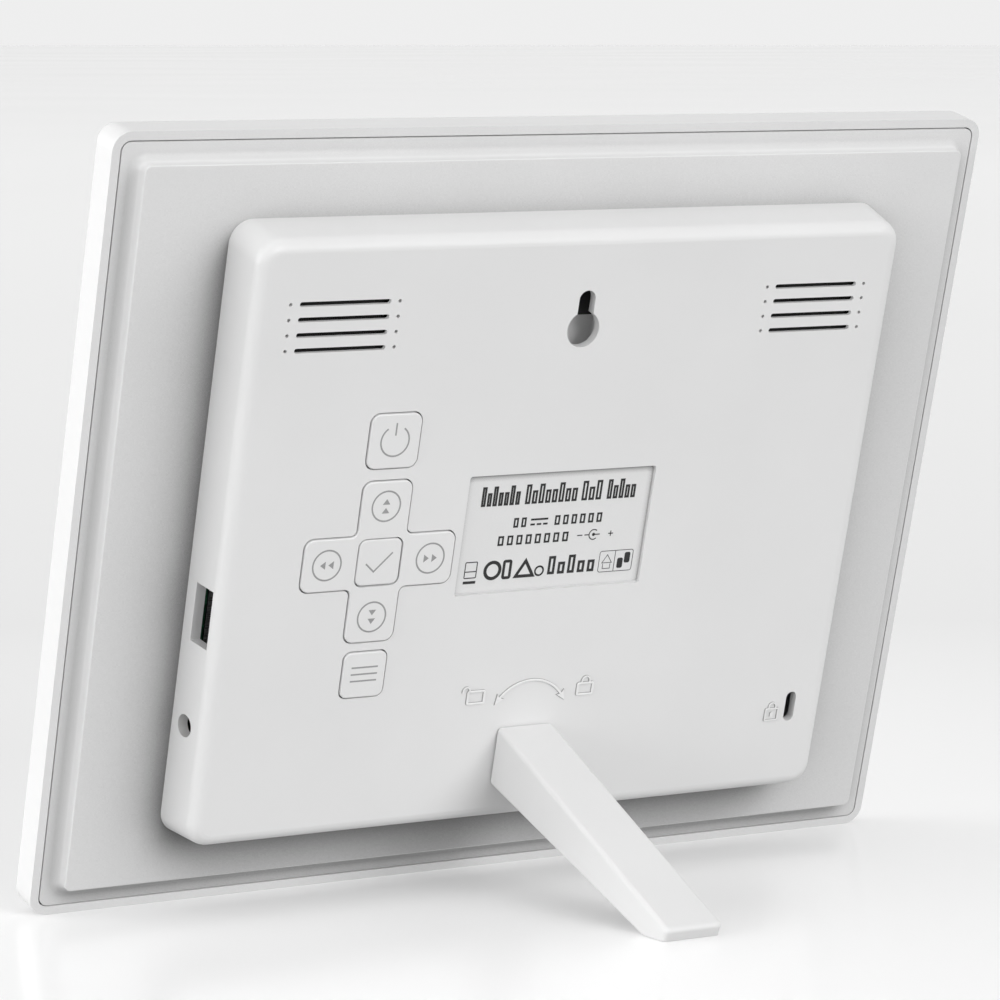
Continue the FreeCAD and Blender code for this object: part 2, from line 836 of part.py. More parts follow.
def make_ribbon_sockets():
    display_x = board_right + ribbon_start + ribbon_width / 2
    display_z = board_top - ribbon_socket_depth / 2
    display = on_board(display_x, display_z, ribbon_width + 3, ribbon_socket_depth, ribbon_thickness * 6)
    key_x0 = key_x - key_board_width / 2 - 2 * ribbon_socket_depth
    key_socket = block(key_x0, key_x0 + ribbon_socket_depth, board_back_y,
                       key_board_front_y - ribbon_thickness, pad_z - 6, pad_z + 6)
    return group([display, key_socket])


def make_key_ribbon():
    """A short flat cable from the key board's edge to its socket on the main board."""
    edge = key_x - key_board_width / 2
    return block(edge - 2 * ribbon_socket_depth, edge + 2, key_board_front_y - ribbon_thickness,
                 key_board_front_y, pad_z - 5, pad_z + 5)


def cell_middle():
    return (board_right + cell_from_right, board_low + cell_from_low)


def make_cell_holder():
    x, z = cell_middle()
    body = on_board(x, z, cell_holder_size, cell_holder_size, cell_holder_height)
    seat_y = board_back_y + cell_holder_height - cell_thickness - 0.2
    return body.cut(disc(x, z, cell_r + 0.1, seat_y, seat_y + cell_thickness + 1))


def make_coin_cell():
    x, z = cell_middle()
    seat_y = board_back_y + cell_holder_height - cell_thickness - 0.2
    cell = disc(x, z, cell_r, seat_y, seat_y + cell_thickness)
    return cell.makeChamfer(0.3, [edge for edge in edges_at_y(cell, seat_y + cell_thickness)])


# ---- Side sockets ----
def socket_face_x(y):
    """Where a socket's front stops behind the hump's sloping side wall, at depth y."""
    share = (y - plateau_rise) / (cover_back_y - plateau_rise)
    return hump_half_width - hump_draft * share - cover_wall - socket_wall_gap


def make_usb_shell():
    face = socket_face_x(usb_y + usb_shell_height / 2)
    x0 = face - usb_shell_depth
    half_length = usb_shell_length / 2
    half_rise = usb_shell_height / 2
    shell = block(x0, face, usb_y - half_rise, usb_y + half_rise, usb_z - half_length, usb_z + half_length)
    inner_length = half_length - usb_shell_wall
    inner_rise = half_rise - usb_shell_wall
    hollow = block(x0 + usb_shell_wall, face + 1, usb_y - inner_rise, usb_y + inner_rise,
                   usb_z - inner_length, usb_z + inner_length)
    return shell.cut(hollow)


def make_usb_tongue():
    """The insulator: a block at the back of the shell, the tongue in front of it."""
    face = socket_face_x(usb_y + usb_shell_height / 2)
    x0 = face - usb_shell_depth + usb_shell_wall + stack_gap
    half_length = usb_shell_length / 2 - usb_shell_wall - stack_gap
    half_rise = usb_shell_height / 2 - usb_shell_wall - stack_gap
    back = block(x0, x0 + usb_block_depth, usb_y - half_rise, usb_y + half_rise,
                 usb_z - half_length, usb_z + half_length)
    tongue = block(x0, face - usb_tongue_setback, usb_y - half_rise + 0.6,
                   usb_y - half_rise + 0.6 + usb_tongue_thickness,
                   usb_z - half_length + 0.6, usb_z + half_length - 0.6)
    return joined([back, tongue])


def make_usb_contacts():
    """Four spring contacts along the tongue."""
    face = socket_face_x(usb_y + usb_shell_height / 2)
    top_y = usb_y - usb_shell_height / 2 + usb_shell_wall + stack_gap + 0.6 + usb_tongue_thickness
    x0 = face - usb_shell_depth + usb_shell_wall + stack_gap + usb_block_depth
    contacts = []
    for index in range(4):
        z = usb_z + (index - 1.5) * 2.2
        contacts.append(block(x0, face - usb_tongue_setback - 0.8, top_y, top_y + 0.15, z - 0.5, z + 0.5))
    return group(contacts)


def make_usb_riser():
    """The black stand that lifts the USB shell off the board."""
    face = socket_face_x(usb_y + usb_shell_height / 2)
    half_length = usb_shell_length / 2
    return block(face - usb_shell_depth, face - 1.0, board_back_y, usb_y - usb_shell_height / 2,
                 usb_z - half_length, usb_z + half_length)


def make_dc_jack():
    face = socket_face_x(jack_y + jack_body_top)
    half_width = jack_body_width / 2
    body = block(face - jack_body_length, face, board_back_y, jack_y + jack_body_top,
                 jack_z - half_width, jack_z + half_width)
    bore = Part.makeCylinder(jack_bore_r, jack_bore_depth + 1, Vector(face + 1, jack_y, jack_z),
                             Vector(-1, 0, 0))
    return body.cut(bore)


def make_dc_jack_pin():
    face = socket_face_x(jack_y + jack_body_top)
    start = Vector(face - jack_bore_depth, jack_y, jack_z)
    return Part.makeCylinder(jack_pin_r, jack_bore_depth - 1.0, start, Vector(1, 0, 0))


# ---- Speakers ----
def make_speaker_frame(side):
    x = side * vent_x
    frame = plate(speaker_length, speaker_height, 3.0, speaker_front_y, speaker_back_y, x, vent_z)
    ear_span = speaker_length + 2 * speaker_ear
    ears = plate(ear_span, speaker_ear, 2.0, speaker_front_y, speaker_front_y + speaker_wall, x, vent_z)
    frame = joined([frame, ears])
    frame = frame.cut(plate(speaker_length - 2 * speaker_wall, speaker_height - 2 * speaker_wall, 2.0,
                            speaker_front_y + speaker_wall, speaker_back_y + 1, x, vent_z))
    frame = frame.cut(disc(x, vent_z, speaker_magnet_r - 1, speaker_front_y - 1, speaker_back_y + 1))
    for post_x, post_z in speaker_posts(side):
        frame = frame.cut(disc(post_x, post_z, screw_hole_r, speaker_front_y - 1, speaker_back_y))
    return frame


def make_speaker_cone(side):
    x = side * vent_x
    rim_size = (speaker_length - 2 * speaker_wall - 0.2, speaker_height - 2 * speaker_wall - 0.2)
    top = speaker_back_y - 0.4
    low = top - speaker_cone_depth + 0.6
    outer = rounded_wire(rim_size[0], rim_size[1], 1.9, top, x, vent_z)
    inner = rounded_wire(rim_size[0] - 8, rim_size[1] - 8, 1.9, low, x, vent_z)
    bowl = Part.makeLoft([inner, outer], True, True)
    upper_outer = rounded_wire(rim_size[0] - 1, rim_size[1] - 1, 1.4, top + 0.01, x, vent_z)
    upper_inner = rounded_wire(rim_size[0] - 9, rim_size[1] - 9, 1.4, low + 0.4, x, vent_z)
    return bowl.cut(Part.makeLoft([upper_inner, upper_outer], True, True))


def make_speaker_magnet(side):
    return disc(side * vent_x, vent_z, speaker_magnet_r, speaker_front_y - speaker_magnet_depth,
                speaker_front_y)


def make_speaker_screws():
    screws = []
    for side in (-1, 1):
        screws += [screw(x, z, speaker_front_y, 1) for x, z in speaker_posts(side)]
    return group(screws)


# ---- Key board ----
def make_key_board():
    middle_z = (key_board_top + key_board_low) / 2
    board = plate(key_board_width, key_board_top - key_board_low, 1.0, key_board_front_y,
                  key_board_back_y, key_x, middle_z)
    for x, z in key_board_posts():
        board = board.cut(disc(x, z, screw_hole_r, key_board_front_y - 1, key_board_back_y + 1))
    return board


def make_key_board_screws():
    return group([screw(x, z, key_board_front_y, 1) for x, z in key_board_posts()])


def make_key_switches():
    bodies = []
    top_y = key_board_back_y + switch_body_height
    for offset_x, offset_z in key_places:
        x = key_x + offset_x
        z = pad_z + offset_z
        body = plate(switch_size, switch_size, 0.4, key_board_back_y, top_y, x, z)
        bore_r = plunger_r + plunger_gap
        bodies.append(body.cut(disc(x, z, bore_r, top_y - switch_bore_depth, top_y + 1)))
    return group(bodies)


def plunger(offset_x, offset_z):
    """The moving stud of one switch, which its key carries along."""
    return disc(key_x + offset_x, pad_z + offset_z, plunger_r, plunger_y - plunger_length, plunger_y)


def make_pad_plungers():
    return group([plunger(x, z) for x, z in key_places[1:5]])


# ---- Keys ----
def simple_key(size, corner_r, z):
    """A square key: its cap, the flange that keeps it in the cover, and its stem."""
    cap = plate(size, size, corner_r, key_flange_y - 0.1, cover_back_y + key_proud, key_x, z)
    cap = cap.makeFillet(key_edge_r, edges_at_y(cap, cover_back_y + key_proud))
    flange_size = size + 2 * key_flange
    flange = plate(flange_size, flange_size, corner_r, key_flange_y - key_flange_thickness,
                   key_flange_y, key_x, z)
    stem = disc(key_x, z, stem_r, plunger_y, key_flange_y - key_flange_thickness / 2)
    return joined([cap, flange, stem])


def make_confirm_key():
    cap = plate(confirm_size, confirm_size, confirm_corner_r, confirm_flange_y - 0.1,
                cover_back_y + key_proud, key_x, pad_z)
    cap = cap.makeFillet(key_edge_r, edges_at_y(cap, cover_back_y + key_proud))
    flange_size = confirm_size + 2 * key_flange
    flange = plate(flange_size, flange_size, confirm_corner_r, confirm_flange_y - key_flange_thickness,
                   confirm_flange_y, key_x, pad_z)
    stem = disc(key_x, pad_z, stem_r, plunger_y, confirm_flange_y - key_flange_thickness / 2)
    return joined([cap, flange, stem])


def pad_barrel(side_x, side_z, gap):
    """One round bearing of the pad's ring, or with a gap the room for it; it points away from the middle."""
    length = (pad_ring_outer - pad_ring_inner) / 2 - 0.2
    start = Vector(key_x + side_x * pad_barrel_offset, pad_pivot_y, pad_z + side_z * pad_barrel_offset)
    along = Vector(abs(side_x), 0, abs(side_z))
    reach = length / 2 + 4 * gap
    return Part.makeCylinder(pad_barrel_r + gap, 2 * reach, start - along * reach, along)


def make_direction_pad():
    top_y = cover_back_y + key_proud
    cap = cross_plate(pad_span, pad_arm, pad_corner_r, pad_inner_r, pad_flange_y - 0.1, top_y)
    cap = cap.makeFillet(key_edge_r, edges_at_y(cap, top_y))
    low_y = pad_flange_y - key_flange_thickness
    flange = cross_plate(pad_span + 2 * key_flange, pad_arm + 2 * key_flange, pad_corner_r,
                         pad_inner_r, low_y, pad_flange_y)
    stems = []
    for offset_x, offset_z in key_places[1:5]:
        stems.append(disc(key_x + offset_x, pad_z + offset_z, stem_r, plunger_y, low_y + 0.2))
    saddles = []
    for side in (-1, 1):
        z = pad_z + side * pad_barrel_offset
        saddles.append(block(key_x - pad_cradle_length / 2, key_x + pad_cradle_length / 2,
                             pad_ring_back_y + pad_cradle_clear, low_y + 0.1,
                             z - pad_cradle_width / 2, z + pad_cradle_width / 2))
    pad = joined([cap, flange] + stems + saddles)
    for side in (-1, 1):
        pad = pad.cut(pad_barrel(0, side, pad_barrel_gap))
    hole = confirm_size + 2 * key_gap
    return pad.cut(plate(hole, hole, confirm_corner_r + key_gap, low_y - 1, top_y + 1, key_x, pad_z))


def make_pad_ring():
    """The ring that the pad rocks on: two barrels rest in the cradles, and two lie under the pad."""
    top_y = pad_ring_back_y
    ring = plate(pad_ring_outer, pad_ring_outer, 1.5, top_y - pad_ring_thickness, top_y, key_x, pad_z)
    ring = ring.cut(plate(pad_ring_inner, pad_ring_inner, 1.0, top_y - 2, top_y + 1, key_x, pad_z))
    low_y = top_y - 2 * pad_barrel_r
    reach = pad_ring_outer / 2
    under = block(key_x - reach, key_x + reach, low_y, top_y, pad_z - reach, pad_z + reach)
    barrels = []
    for side in (-1, 1):
        barrels += [pad_barrel(side, 0, 0).common(under), pad_barrel(0, side, 0)]
    return joined([ring] + barrels)


def make_pad_cradles():
    """Two posts on the key board whose rounded seats carry the ring."""
    top_y = pad_ring_back_y - pad_ring_thickness - pad_cradle_clear
    cradles = []
    for side in (-1, 1):
        x = key_x + side * pad_barrel_offset
        post = block(x - pad_cradle_width / 2, x + pad_cradle_width / 2, key_board_back_y, top_y,
                     pad_z - pad_cradle_length / 2, pad_z + pad_cradle_length / 2)
        cradles.append(post.cut(pad_barrel(side, 0, pad_barrel_gap)))
    return group(cradles)


# ---- Leg and socket ----
def floor_z(y):
    """Height of the floor in the upright layout, which slopes because the frame leans."""
    return y * math.tan(math.radians(lean_deg)) - half_height


def leg_outline():
    """The leg's side view as (y, z) points, from the top of its root round to the toe."""
    toe_y = cover_back_y + leg_reach
    root_low = leg_root_z - leg_root_height
    underside = math.tan(math.radians(leg_underside_deg))
    floor_slope = math.tan(math.radians(lean_deg))
    root_low_at_zero = root_low + leg_start_y * underside
    heel_y = (root_low_at_zero + half_height) / (floor_slope + underside)
    sole_end_y = toe_y - leg_toe_lean
    return [
        (leg_start_y, leg_root_z),
        (toe_y, floor_z(toe_y) + leg_toe_height),
        (sole_end_y, floor_z(sole_end_y)),
        (heel_y, floor_z(heel_y)),
        (leg_start_y, root_low),
    ]


def side_prism(points, half):
    """A side view in y and z, extruded to x = -half and x = +half."""
    corners = [Vector(-half, y, z) for y, z in points]
    face = Part.Face(Part.makePolygon(corners + [corners[0]]))
    return face.extrude(Vector(2 * half, 0, 0))


def make_stand_leg():
    outline = leg_outline()
    body = side_prism(outline, leg_width / 2)
    long_edges = []
    for edge in body.Edges:
        middle = edge.valueAt((edge.FirstParameter + edge.LastParameter) / 2)
        on_side = abs(abs(middle.x) - leg_width / 2) < 1e-4
        on_root = abs(middle.y - leg_start_y) < 1e-4
        on_toe = middle.y > outline[2][0] and not on_side
        on_sole = outline[3][0] < middle.y < outline[2][0] and middle.z < floor_z(middle.y) + 0.01
        if (on_side and not on_root and not on_sole) or on_toe:
            long_edges.append(edge)
    body = body.makeFillet(leg_edge_r, long_edges)
    core_start = leg_start_y + leg_core_wall + 2
    core_end = outline[3][0] - 3 * leg_core_wall
    bottom = outline[4][1] - 10
    ceiling_start = outline[4][1] - (core_start - leg_start_y) * math.tan(math.radians(leg_underside_deg))
    ceiling_end = outline[4][1] - (core_end - leg_start_y) * math.tan(math.radians(leg_underside_deg))
    core = side_prism([(core_start, bottom - 5), (core_end, bottom - 5),
                       (core_end, ceiling_end + leg_core_depth),
                       (core_start, ceiling_start + leg_core_depth)], leg_width / 2 - leg_core_wall)
    body = body.cut(core)
    spigot = disc(0, leg_axis_z, spigot_r, lug_low_y, leg_start_y + 1)
    lugs = []
    for half_turn in (0, 180):
        middle = lug_rest_angle + half_turn
        lugs.append(sector(0, leg_axis_z, 0, lug_r, middle - lug_half_angle, middle + lug_half_angle,
                           lug_low_y, lug_top_y))
    return joined([body, spigot] + lugs)


def make_leg_socket():
    """The cup behind the cover that keeps the lugs, with stops at both ends of their turn."""
    top_y = cover_inner_y
    outer_r = socket_inner_r + socket_wall
    cup = disc(0, leg_axis_z, outer_r, socket_floor_y - socket_floor, top_y)
    ear_width = 2 * (socket_ear_offset + screw_post_r)
    ears = plate(ear_width, 2 * screw_post_r, screw_post_r - 0.05, socket_floor_y - socket_floor,
                 socket_floor_y, 0, leg_axis_z)
    cup = joined([cup, ears])
    cup = cup.cut(disc(0, leg_axis_z, socket_inner_r, socket_floor_y, top_y + 1))
    stops = []
    for half_turn in (0, 180):
        start = lug_rest_angle + lug_turn + lug_half_angle + stop_gap_angle + half_turn
        end = lug_rest_angle + 180 - lug_half_angle - stop_gap_angle + half_turn
        stops.append(sector(0, leg_axis_z, spigot_r + 0.3, socket_inner_r + 0.2, start, end,
                            socket_floor_y - 0.2, top_y))
    cup = joined([cup] + stops)
    for x, z in socket_posts():
        cup = cup.cut(disc(x, z, screw_hole_r, socket_floor_y - socket_floor - 1, top_y))
    return cup


def make_socket_screws():
    head_y = socket_floor_y - socket_floor
    return group([screw(x, z, head_y, 1) for x, z in socket_posts()])


# ---- All pieces ----
pieces = {
    "front_bezel": make_front_bezel(),
    "rear_cover": make_rear_cover(),
    "label_plate": make_label_plate(),
    "screen_gasket": make_screen_gasket(),
    "lcd_glass": make_lcd_glass(),
    "light_guide": make_light_guide(),
    "lcd_chassis": make_lcd_chassis(),
    "clamp_strips": make_clamp_strips(),
    "clamp_screws": make_clamp_screws(),
    "display_ribbon": make_display_ribbon(),
    "main_board": make_main_board(),
    "board_screws": make_board_screws(),
    "processor": make_processor(),
    "memory_chips": make_memory_chips(),
    "capacitors": make_capacitors(),
    "inductor": make_inductor(),
    "ribbon_sockets": make_ribbon_sockets(),
    "key_ribbon": make_key_ribbon(),
    "coin_cell_holder": make_cell_holder(),
    "coin_cell": make_coin_cell(),
    "usb_shell": make_usb_shell(),
    "usb_tongue": make_usb_tongue(),
    "usb_contacts": make_usb_contacts(),
    "usb_riser": make_usb_riser(),
    "dc_jack": make_dc_jack(),
    "dc_jack_pin": make_dc_jack_pin(),
    "left_speaker_frame": make_speaker_frame(1),
    "left_speaker_cone": make_speaker_cone(1),
    "left_speaker_magnet": make_speaker_magnet(1),
    "right_speaker_frame": make_speaker_frame(-1),
    "right_speaker_cone": make_speaker_cone(-1),
    "right_speaker_magnet": make_speaker_magnet(-1),
    "speaker_screws": make_speaker_screws(),
    "key_board": make_key_board(),
    "key_board_screws": make_key_board_screws(),
    "key_switches": make_key_switches(),
    "power_key": simple_key(power_size, power_corner_r, power_z),
    "power_plunger": plunger(0, power_rise),
    "direction_pad": make_direction_pad(),
    "pad_plungers": make_pad_plungers(),
    "pad_ring": make_pad_ring(),
    "pad_cradles": make_pad_cradles(),
    "confirm_key": make_confirm_key(),
    "confirm_plunger": plunger(0, 0),
    "menu_key": simple_key(menu_size, menu_corner_r, menu_z),
    "menu_plunger": plunger(0, -menu_drop),
    "leg_socket": make_leg_socket(),
    "socket_screws": make_socket_screws(),
    "stand_leg": make_stand_leg(),
}


# ---- Lean the frame back, stand it on the floor and write it ----
def leaned(y, z):
    """The leaned position of a point in the upright layout, before the floor is set to zero."""
    angle = math.radians(lean_deg)
    return (y * math.cos(angle) + z * math.sin(angle), z * math.cos(angle) - y * math.sin(angle))


leaned_pieces = {}
for name, shape in pieces.items():
    turned = shape.copy()
    turned.rotate(Vector(0, 0, 0), Vector(1, 0, 0), -lean_deg)
    leaned_pieces[name] = turned

front_foot_z = leaned(0, -half_height)[1]
depth_box = Part.makeCompound(list(leaned_pieces.values())).optimalBoundingBox(False)
middle_y = (depth_box.YMin + depth_box.YMax) / 2

os.makedirs("parts", exist_ok=True)
for name, shape in leaned_pieces.items():
    shape.translate(Vector(0, -middle_y, -front_foot_z))
    shape.exportStep("parts/" + name + ".step")
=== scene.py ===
import math
import bpy
import bmesh
from mathutils import Matrix, Vector


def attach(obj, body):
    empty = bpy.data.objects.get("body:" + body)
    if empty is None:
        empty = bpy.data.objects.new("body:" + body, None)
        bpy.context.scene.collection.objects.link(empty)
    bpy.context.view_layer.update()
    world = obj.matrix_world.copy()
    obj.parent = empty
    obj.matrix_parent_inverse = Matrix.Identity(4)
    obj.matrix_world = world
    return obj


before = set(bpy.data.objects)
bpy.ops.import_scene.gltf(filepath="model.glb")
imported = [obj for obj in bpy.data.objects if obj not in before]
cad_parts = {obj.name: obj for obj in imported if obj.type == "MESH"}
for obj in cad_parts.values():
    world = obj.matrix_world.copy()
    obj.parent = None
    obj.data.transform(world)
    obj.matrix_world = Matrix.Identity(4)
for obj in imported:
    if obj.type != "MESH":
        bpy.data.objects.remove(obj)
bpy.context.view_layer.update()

bl_info = {
    "name": "Digital photo frame",
    "version": (1, 0, 0),
    "blender": (4, 5, 0),
    "location": "View3D > Sidebar > Photo frame",
    "description": "Dresses a digital photo frame: casing, screen, boards, keys, marks and label",
    "category": "Object",
}

MM = 0.001
LEAN = math.radians(15.0)
PANEL_MIDDLE = Vector((0.0, -0.0190947, 0.0806548))

# Heights out of the panel's back, in millimetres.
COVER_BACK = 14.5
COVER_INSIDE = 12.5
KEY_TOP = 14.9
LABEL_TOP = 13.8
STEP_TOP = 2.9

# Places on the panel, in millimetres: right as seen from behind, then up.
POWER_PLACE = (-41.5, 22.15)
PAD_PLACE = (-41.5, -4.0)
MENU_PLACE = (-41.5, -28.75)
VENT_PLACE = (56.8, 47.05)
TURN_PLACE = (0.05, -43.35)
PAD_ARM = 12.1

# Painted shade in the corners: how far it leans right and up the panel, how much of a clear view
# still counts as full light, how dark it gets, and how far it reaches in metres.
SHADE_LEAN = (0.10, 0.50, 0.0)
SHADE_LIFT = 1.08
STEP_SHADE, STEP_SHADE_REACH = 2.2, 0.045
LABEL_SHADE, LABEL_SHADE_REACH = 1.6, 0.0016
# The keyhole's hood gets painted shade only above this height over the panel's middle, in
# millimetres.
HOOD_PAINTED_SHADE = 45.0

# How deep the drawn lines sink into what they lie on and how far they stand out, in millimetres.
LEGEND_SINK, LEGEND_PROUD = 0.06, 0.015
MARK_SINK = 0.08
PRINT_SINK, PRINT_PROUD = 0.03, 0.012
# Widths of the lines on the label, in millimetres.
ROW_LINE, FINE_LINE, HAIR_LINE = 0.42, 0.22, 0.14

# A wave texture of scale 1 repeats each 0.31416 metres.
WAVE_PITCH = 0.31416

# Where each light comes from, and how wide it is in degrees.
LIGHTS = {
    "key_light": ((-0.25, 0.93, 0.24), 34.0),
    "fill_light": ((0.95, 0.22, 0.12), 30.0),
    "edge_light": ((0.84, -0.52, 0.08), 60.0),
}
# Share of the surroundings' colour from straight below (0) to straight above (1).
SKY_BANDS = ((0.0, 0.38), (0.485, 0.40), (0.495, 0.955), (0.55, 0.955), (0.60, 0.55), (1.0, 0.84))

# The panel's own axes: right as seen from behind, then up the panel, then out of the back.
PANEL = Matrix((
    (-1.0, 0.0, 0.0, PANEL_MIDDLE.x),
    (0.0, math.sin(LEAN), math.cos(LEAN), PANEL_MIDDLE.y),
    (0.0, math.cos(LEAN), -math.sin(LEAN), PANEL_MIDDLE.z),
    (0.0, 0.0, 0.0, 1.0),
))


# ---- Settings ----
def colour(name, default, description):
    return bpy.props.FloatVectorProperty(name=name, description=description, default=default,
                                         size=3, subtype="COLOR", min=0.0, max=1.0)


def length(name, default_mm, description):
    return bpy.props.FloatProperty(name=name, description=description, default=default_mm * MM,
                                   unit="LENGTH", subtype="DISTANCE", min=0.0, precision=5)


def number(name, default, description):
    return bpy.props.FloatProperty(name=name, description=description, default=default, min=0.0)


class CasingSettings(bpy.types.PropertyGroup):
    plastic: colour("Casing plastic", (0.80, 0.80, 0.80), "Colour of the bezel, cover and leg")
    key_plastic: colour("Key plastic", (0.81, 0.81, 0.81), "Colour of the keys")
    grain: length("Grain size", 0.32, "Size of the fine grain that the mould leaves in the plastic")
    grain_depth: length("Grain depth", 0.006, "Depth of the fine grain")
    roughness: bpy.props.FloatProperty(name="Roughness", description="How satin the plastic is",
                                       default=0.42, min=0.0, max=1.0)


class LegendSettings(bpy.types.PropertyGroup):
    # Painted shade: the legends' grey stands in for the shade inside engraved lines.
    paint: colour("Legend grey", (0.33, 0.33, 0.33), "Colour of the sunk lines on the keys")
    line: length("Line width", 0.36, "Width of the lines on the keys")
    ring_radius: length("Ring radius", 3.25, "Radius of the power symbol and the arrows' rings")
    arrow_width: length("Arrow width", 1.75, "Width of one small arrow")
    arrow_length: length("Arrow length", 1.2, "Length of one small arrow")


class MarkSettings(bpy.types.PropertyGroup):
    # Painted highlight: the flat tops are lighter than the casing, as if lit.
    top: colour("Top", (0.86, 0.86, 0.86), "Colour of the flat tops of the raised marks")
    # Painted shade: the steep sides are grey, as if in shadow.
    side: colour("Sides", (0.40, 0.40, 0.40), "Colour of the steep sides of the raised marks")
    line: length("Line width", 0.66, "Width of the raised lines")
    height: length("Height", 0.36, "How far the marks stand out of the cover")
    arc_radius: length("Arc radius", 9.75, "Radius of the double-headed arrow over the leg")


class LabelSettings(bpy.types.PropertyGroup):
    film: colour("Label film", (0.80, 0.80, 0.80), "Colour of the label")
    ink: colour("Ink", (0.006, 0.006, 0.006), "Colour of the print")
    title_height: length("Title height", 4.35, "Height of the tall row")
    row_height: length("Row height", 2.15, "Height of the two small rows")
    symbol_height: length("Symbol height", 4.3, "Height of the bottom row of symbols")


class ScreenSettings(bpy.types.PropertyGroup):
    dark: colour("Screen", (0.010, 0.011, 0.014), "Colour of the switched-off picture area")
    mask: colour("Mask", (0.003, 0.003, 0.003), "Colour of the border round the picture area")
    picture_width: length("Picture width", 160.6, "Width of the picture area")
    picture_height: length("Picture height", 120.2, "Height of the picture area")


class StageSettings(bpy.types.PropertyGroup):
    floor: colour("Floor", (0.94, 0.94, 0.94), "Colour of the floor")
    sky: colour("Surroundings", (0.90, 0.90, 0.90), "Colour of the surroundings at the horizon")
    key_strength: number("Key light", 1.42, "Strength of the high light on the cover")
    fill_strength: number("Fill light", 1.0, "Strength of the light on the side walls")
    edge_strength: number("Edge light", 2.1, "Strength of the light from the front side")
    lens: bpy.props.FloatProperty(name="Lens", description="Focal length of the camera",
                                  default=159.5754, min=1.0, subtype="DISTANCE_CAMERA")


SETTINGS = (
    ("frame_casing", CasingSettings),
    ("frame_legends", LegendSettings),
    ("frame_marks", MarkSettings),
    ("frame_label", LabelSettings),
    ("frame_screen", ScreenSettings),
    ("frame_stage", StageSettings),
)


